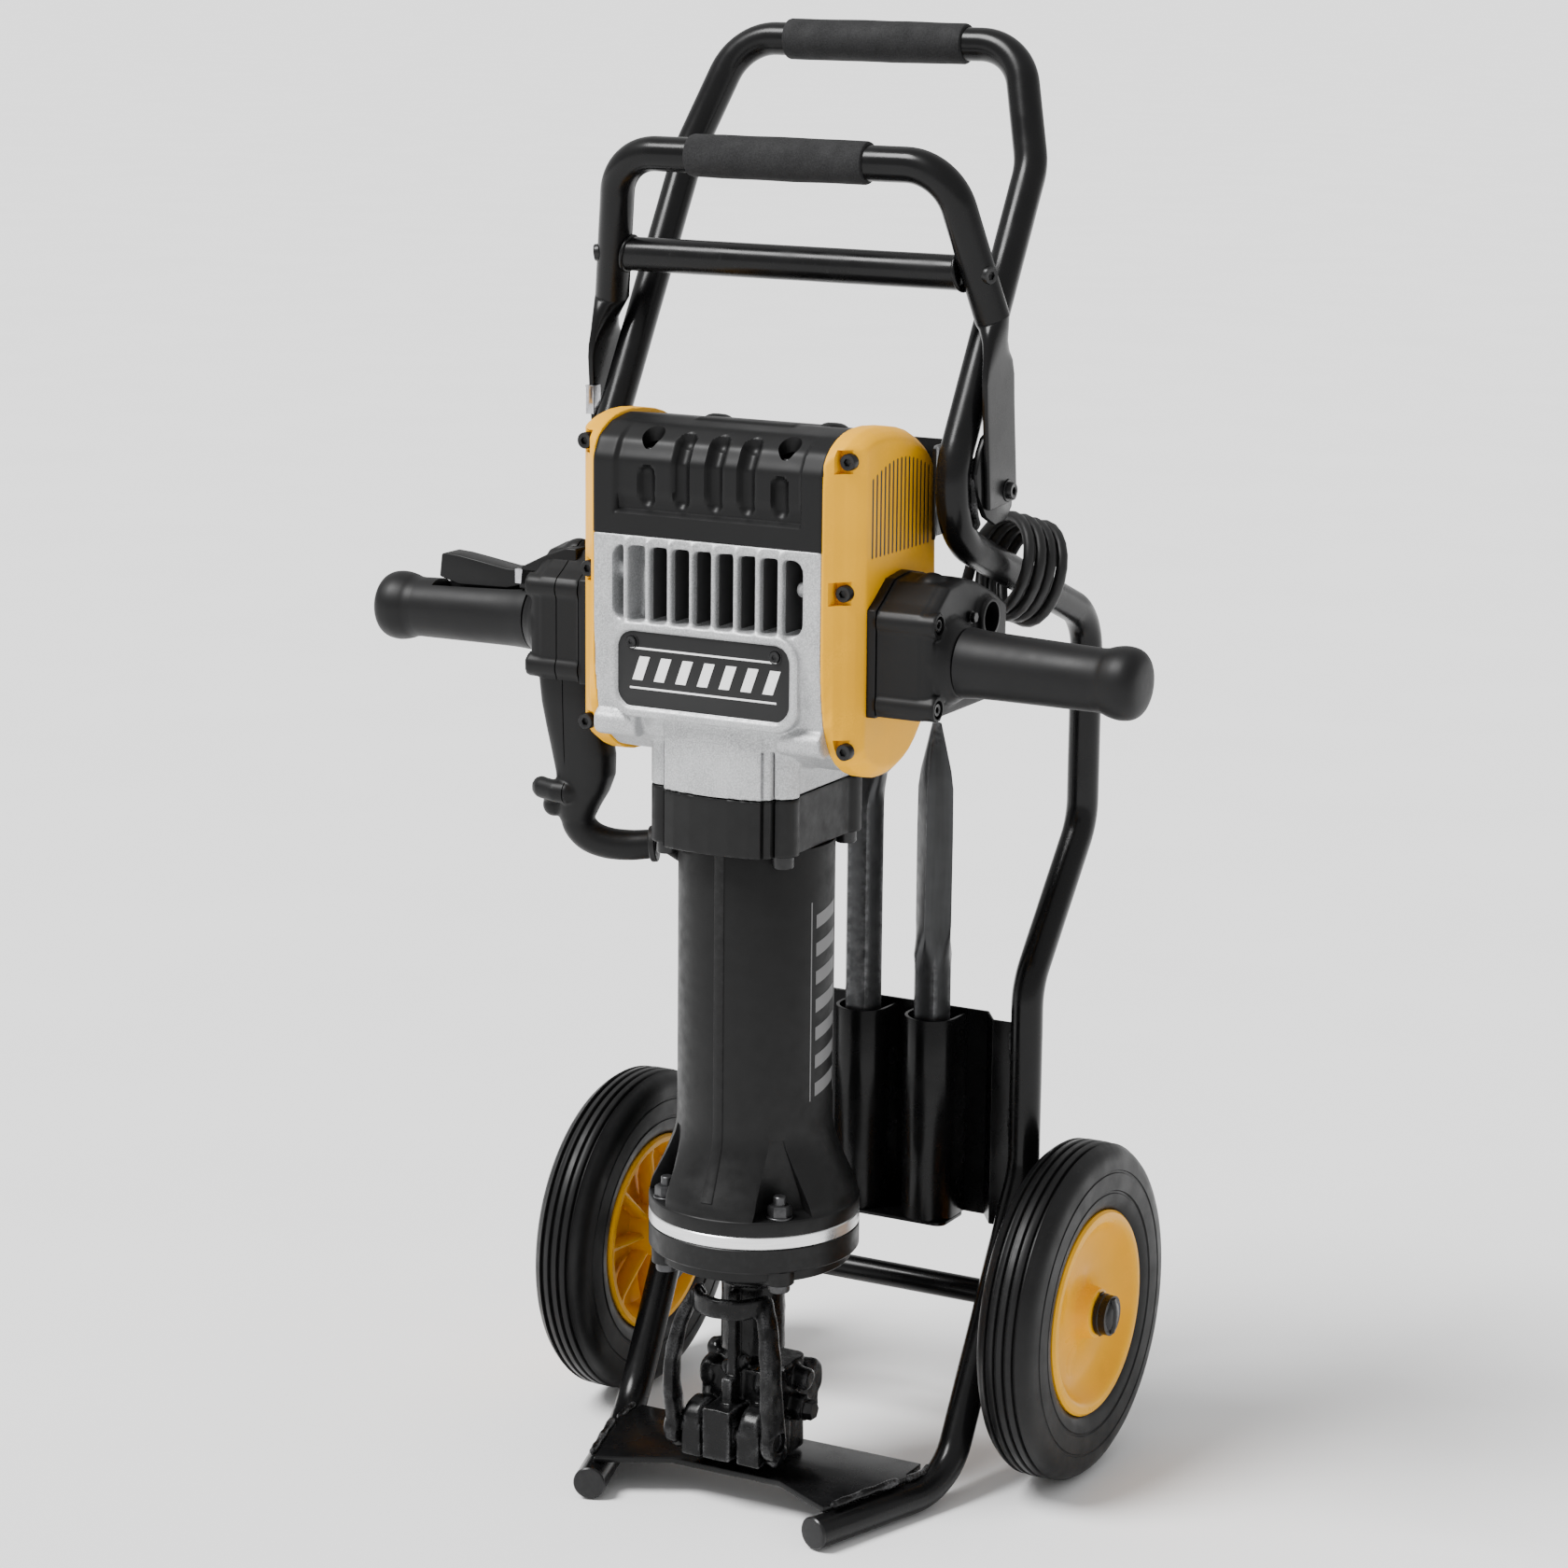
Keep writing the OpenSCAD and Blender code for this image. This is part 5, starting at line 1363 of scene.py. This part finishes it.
def make_nose():
    """The tool holder: a rough forging with a retainer that swings on a pin across it."""
    pin_y, pin_z = -148, 62
    parts = [
        post(0, HY, 118, 197, 25, sides=48), post(0, HY, 176, 186, 31, sides=48, edge=2),
        slab(round_rect(64, 60, 12, 0, HY + 4), "xy", 33, 108),
        block((-5, -146, 78), (4, -118, 104)), block((-4, -138, 100), (3, -122, 172)),
        block((-13.5, -160, 42), (10.5, -125, 83)),
        rod((-9, -127, 104), (8, -127, 118), 9, 6, sides=24, edge=2),
    ]
    for x0, x1 in ((-34.5, -17.5), (14.5, 34.5)):
        parts.append(bar(x0, x1, -139, 66, 18, sides=40, edge=3))
        parts.append(block((x0, -156.5, 40), (x1, -104, 66)))
        parts.append(bar(x0, x1, -64, 84, 16, sides=36, edge=3))
        parts.append(bar(x0 + 1, x1 - 1, -120, 99, 13, sides=32, edge=3))
        parts.append(block((x0 + 1, -126, 74), (x1 - 1, -92, 100)))
        parts.append(block((x0, -90, 60), (x1, -58, 92)))
    parts.append(rod((30, -92, 96), (45, -92, 94), 9, sides=24, edge=2))
    parts.append(rod((-44, -92, 104), (-31, -92, 107), 10, sides=24, edge=3))
    parts.append(rod((30, -98, 74), (44, -98, 72), 11, sides=6, edge=2))
    lumps = cast(joined(*parts), 1.2, 3, keep=0.5)

    def forged(p):
        return p + Vector((noise.noise(p * 0.09), noise.noise(p * 0.09 + Vector((7, 3, 1))),
                           noise.noise(p * 0.09 + Vector((2, 9, 5))))) * 0.7

    lumps = moved(lumps, forged)
    hexagonal = loft([hexagon(0, HY, z, 29.4) for z in (26, 200)])
    bore = bar(-70, 70, pin_y, pin_z, 6.3, sides=32)
    flat = block((-80, -200, 0), (80, 0, 31.2))
    piece("nose_forging", carved(lumps, hexagonal, bore, flat), "nose", "hammer", "nose_block", angle=60)
    pin = [bar(-46, 46, pin_y, pin_z, 5.9, sides=32, edge=1),
           hex_head((44, -98, 72), X, 8, 7, washer=1.2)]
    piece("latch_pin_steel", joined(*pin), "screw", "hammer", "latch_pin")

    band = [Vector((29.5 * math.sin(t), -133 - 29 * math.cos(t), 167))
            for t in degrees(-86, 86, 8)]
    rings = []
    for i, p in enumerate(band):
        d = (band[min(i + 1, len(band) - 1)] - band[max(i - 1, 0)]).normalized()
        rings.append(oval(p, Vector((d.y, -d.x, 0)), Z, 3.8, 8, 5, 24))
    parts = [loft(rings)]
    for s in (-1, 1):
        arm = [(27, -136, 171), (32, -142, 164), (38.5, -149, 148), (43, -153.5, 122), (44, -154.5, 98),
               (43.6, -151, 76), (43, -148, 60)]
        path = curve_through([(s * x, y, z) for x, y, z in arm], 6)
        parts.append(sweep(path, lambda t: (5 + 0.8 * t, 7.4 + 5 * t, 3.2), 28, up=(0, 1, 0)))
        parts.append(bar(s * 37.8, s * 48.6, -148, 60, 14, sides=40, edge=2.6))
        parts.append(rod((s * 38, -143, 51), (s * 48, -143, 48), 10, sides=32, edge=2.6))
    yoke = moved(cast(joined(*parts), 1.1, 3, keep=0.5), forged)
    holes = [bar(-70, 70, pin_y, pin_z, 6.4, sides=32)]
    holes += [bar(s * 46.6, s * 60, pin_y, pin_z, 8, sides=32) for s in (-1, 1)]
    piece("latch_yoke", carved(yoke, *holes), "nose", "tool_latch", "retainer_latch", angle=60)


# ---------------------------------------------------------------- insides, stage and light
def dress_frame():
    """Gives the CAD pieces that stay in view their materials."""
    looks = {
        "field_stator": "windings", "armature": "windings", "ball_bearings": "steel", "brush_holders": "zinc",
        "crank_gear": "steel", "con_rod": "steel", "wrist_pin": "steel", "piston": "aluminium",
        "cylinder_tube": "steel", "ram": "steel", "beat_piece": "steel", "tool_sleeve": "steel",
        "power_switch": "plastic", "trigger_pin": "steel", "axle_caps": "screw",
    }
    for name, look in looks.items():
        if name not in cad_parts:
            continue
        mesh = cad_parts[name].data
        material = LOOKS[look][0]
        if mesh.materials:
            for k in range(len(mesh.materials)):
                mesh.materials[k] = material
        else:
            mesh.materials.append(material)


def place_light(name, data, spot, aim):
    """Puts a light at a spot and turns it towards the point that it's aimed at."""
    obj = bpy.data.objects.new(name, data)
    obj.location = Vector(spot) * MM
    obj.rotation_euler = (Vector(aim) - Vector(spot)).to_track_quat("-Z", "Y").to_euler()
    bpy.context.scene.collection.objects.link(obj)


def lamp(name, spot, size, power, aim=(0, -50, 560)):
    data = bpy.data.lights.new(name, "AREA")
    data.shape = "RECTANGLE"
    data.size, data.size_y = size
    data.energy = power
    place_light(name, data, spot, aim)


def sun(name, spot, power, spread, aim):
    data = bpy.data.lights.new(name, "SUN")
    data.energy = power
    data.angle = math.radians(spread)
    place_light(name, data, spot, aim)


def make_stage():
    surface = Surface("floor")
    drift = surface.spots(3, 3, 0.3, 0.7)
    surface.grain(400, 2, 0.02, 0.2)
    surface.finish(surface.mix(drift, (0.88, 0.88, 0.88), (0.91, 0.91, 0.91)), 0.8, specular=0.1)
    radius, thick = 90000, 20
    disc = [(0, 0), (radius, 0), (radius, -thick), (0, -thick)]
    floor = to_object(lathe(disc, (0, 0, -1.2), Z, 96, closed=False), "floor_disc")
    floor.data.materials.append(surface.material)
    world = bpy.context.scene.world or bpy.data.worlds.new("world")
    bpy.context.scene.world = world
    world.use_nodes = True
    sky = world.node_tree.nodes["Background"]
    sky.inputs["Color"].default_value = (1, 1, 1, 1)
    sky.inputs["Strength"].default_value = 0.8
    sun("sun", (-1200, -1500, 3200), 5.5, 24, aim=(0, 0, 500))
    lamp("key", (-1500, -2600, 1500), (700, 1500), 75, aim=(0, -100, 600))
    lamp("strip", (2600, -900, 1300), (400, 1800), 42, aim=(0, 0, 550))
    lamp("front", (900, -3000, 300), (1400, 700), 22, aim=(0, 0, 300))
    lamp("rim", (-1800, 1900, 1600), (600, 2000), 30)


set_camera()
make_cord()
make_frame_tubes()
make_foot_plate()
make_axle()
make_chisel_holder()
make_back_rest()
make_hoop()
foam_sleeve("rear_grip_foam", (-77, 78, 1119), (77, 78, 1119), 15.6, "trolley", "rear_grip")
foam_sleeve("hoop_grip_foam", (-75, -78, 1037.5), (75, -78, 1037.5), 16, "front_hoop", "hoop_grip")
make_wheel("left", -1)
make_wheel("right", 1)
make_chisels()
make_housing()
make_top_cover()
make_side_covers()
make_handle_boxes()
make_grips()
make_cord_boot()
make_collar_and_barrel()
make_flange()
make_nose()
dress_frame()
make_stage()
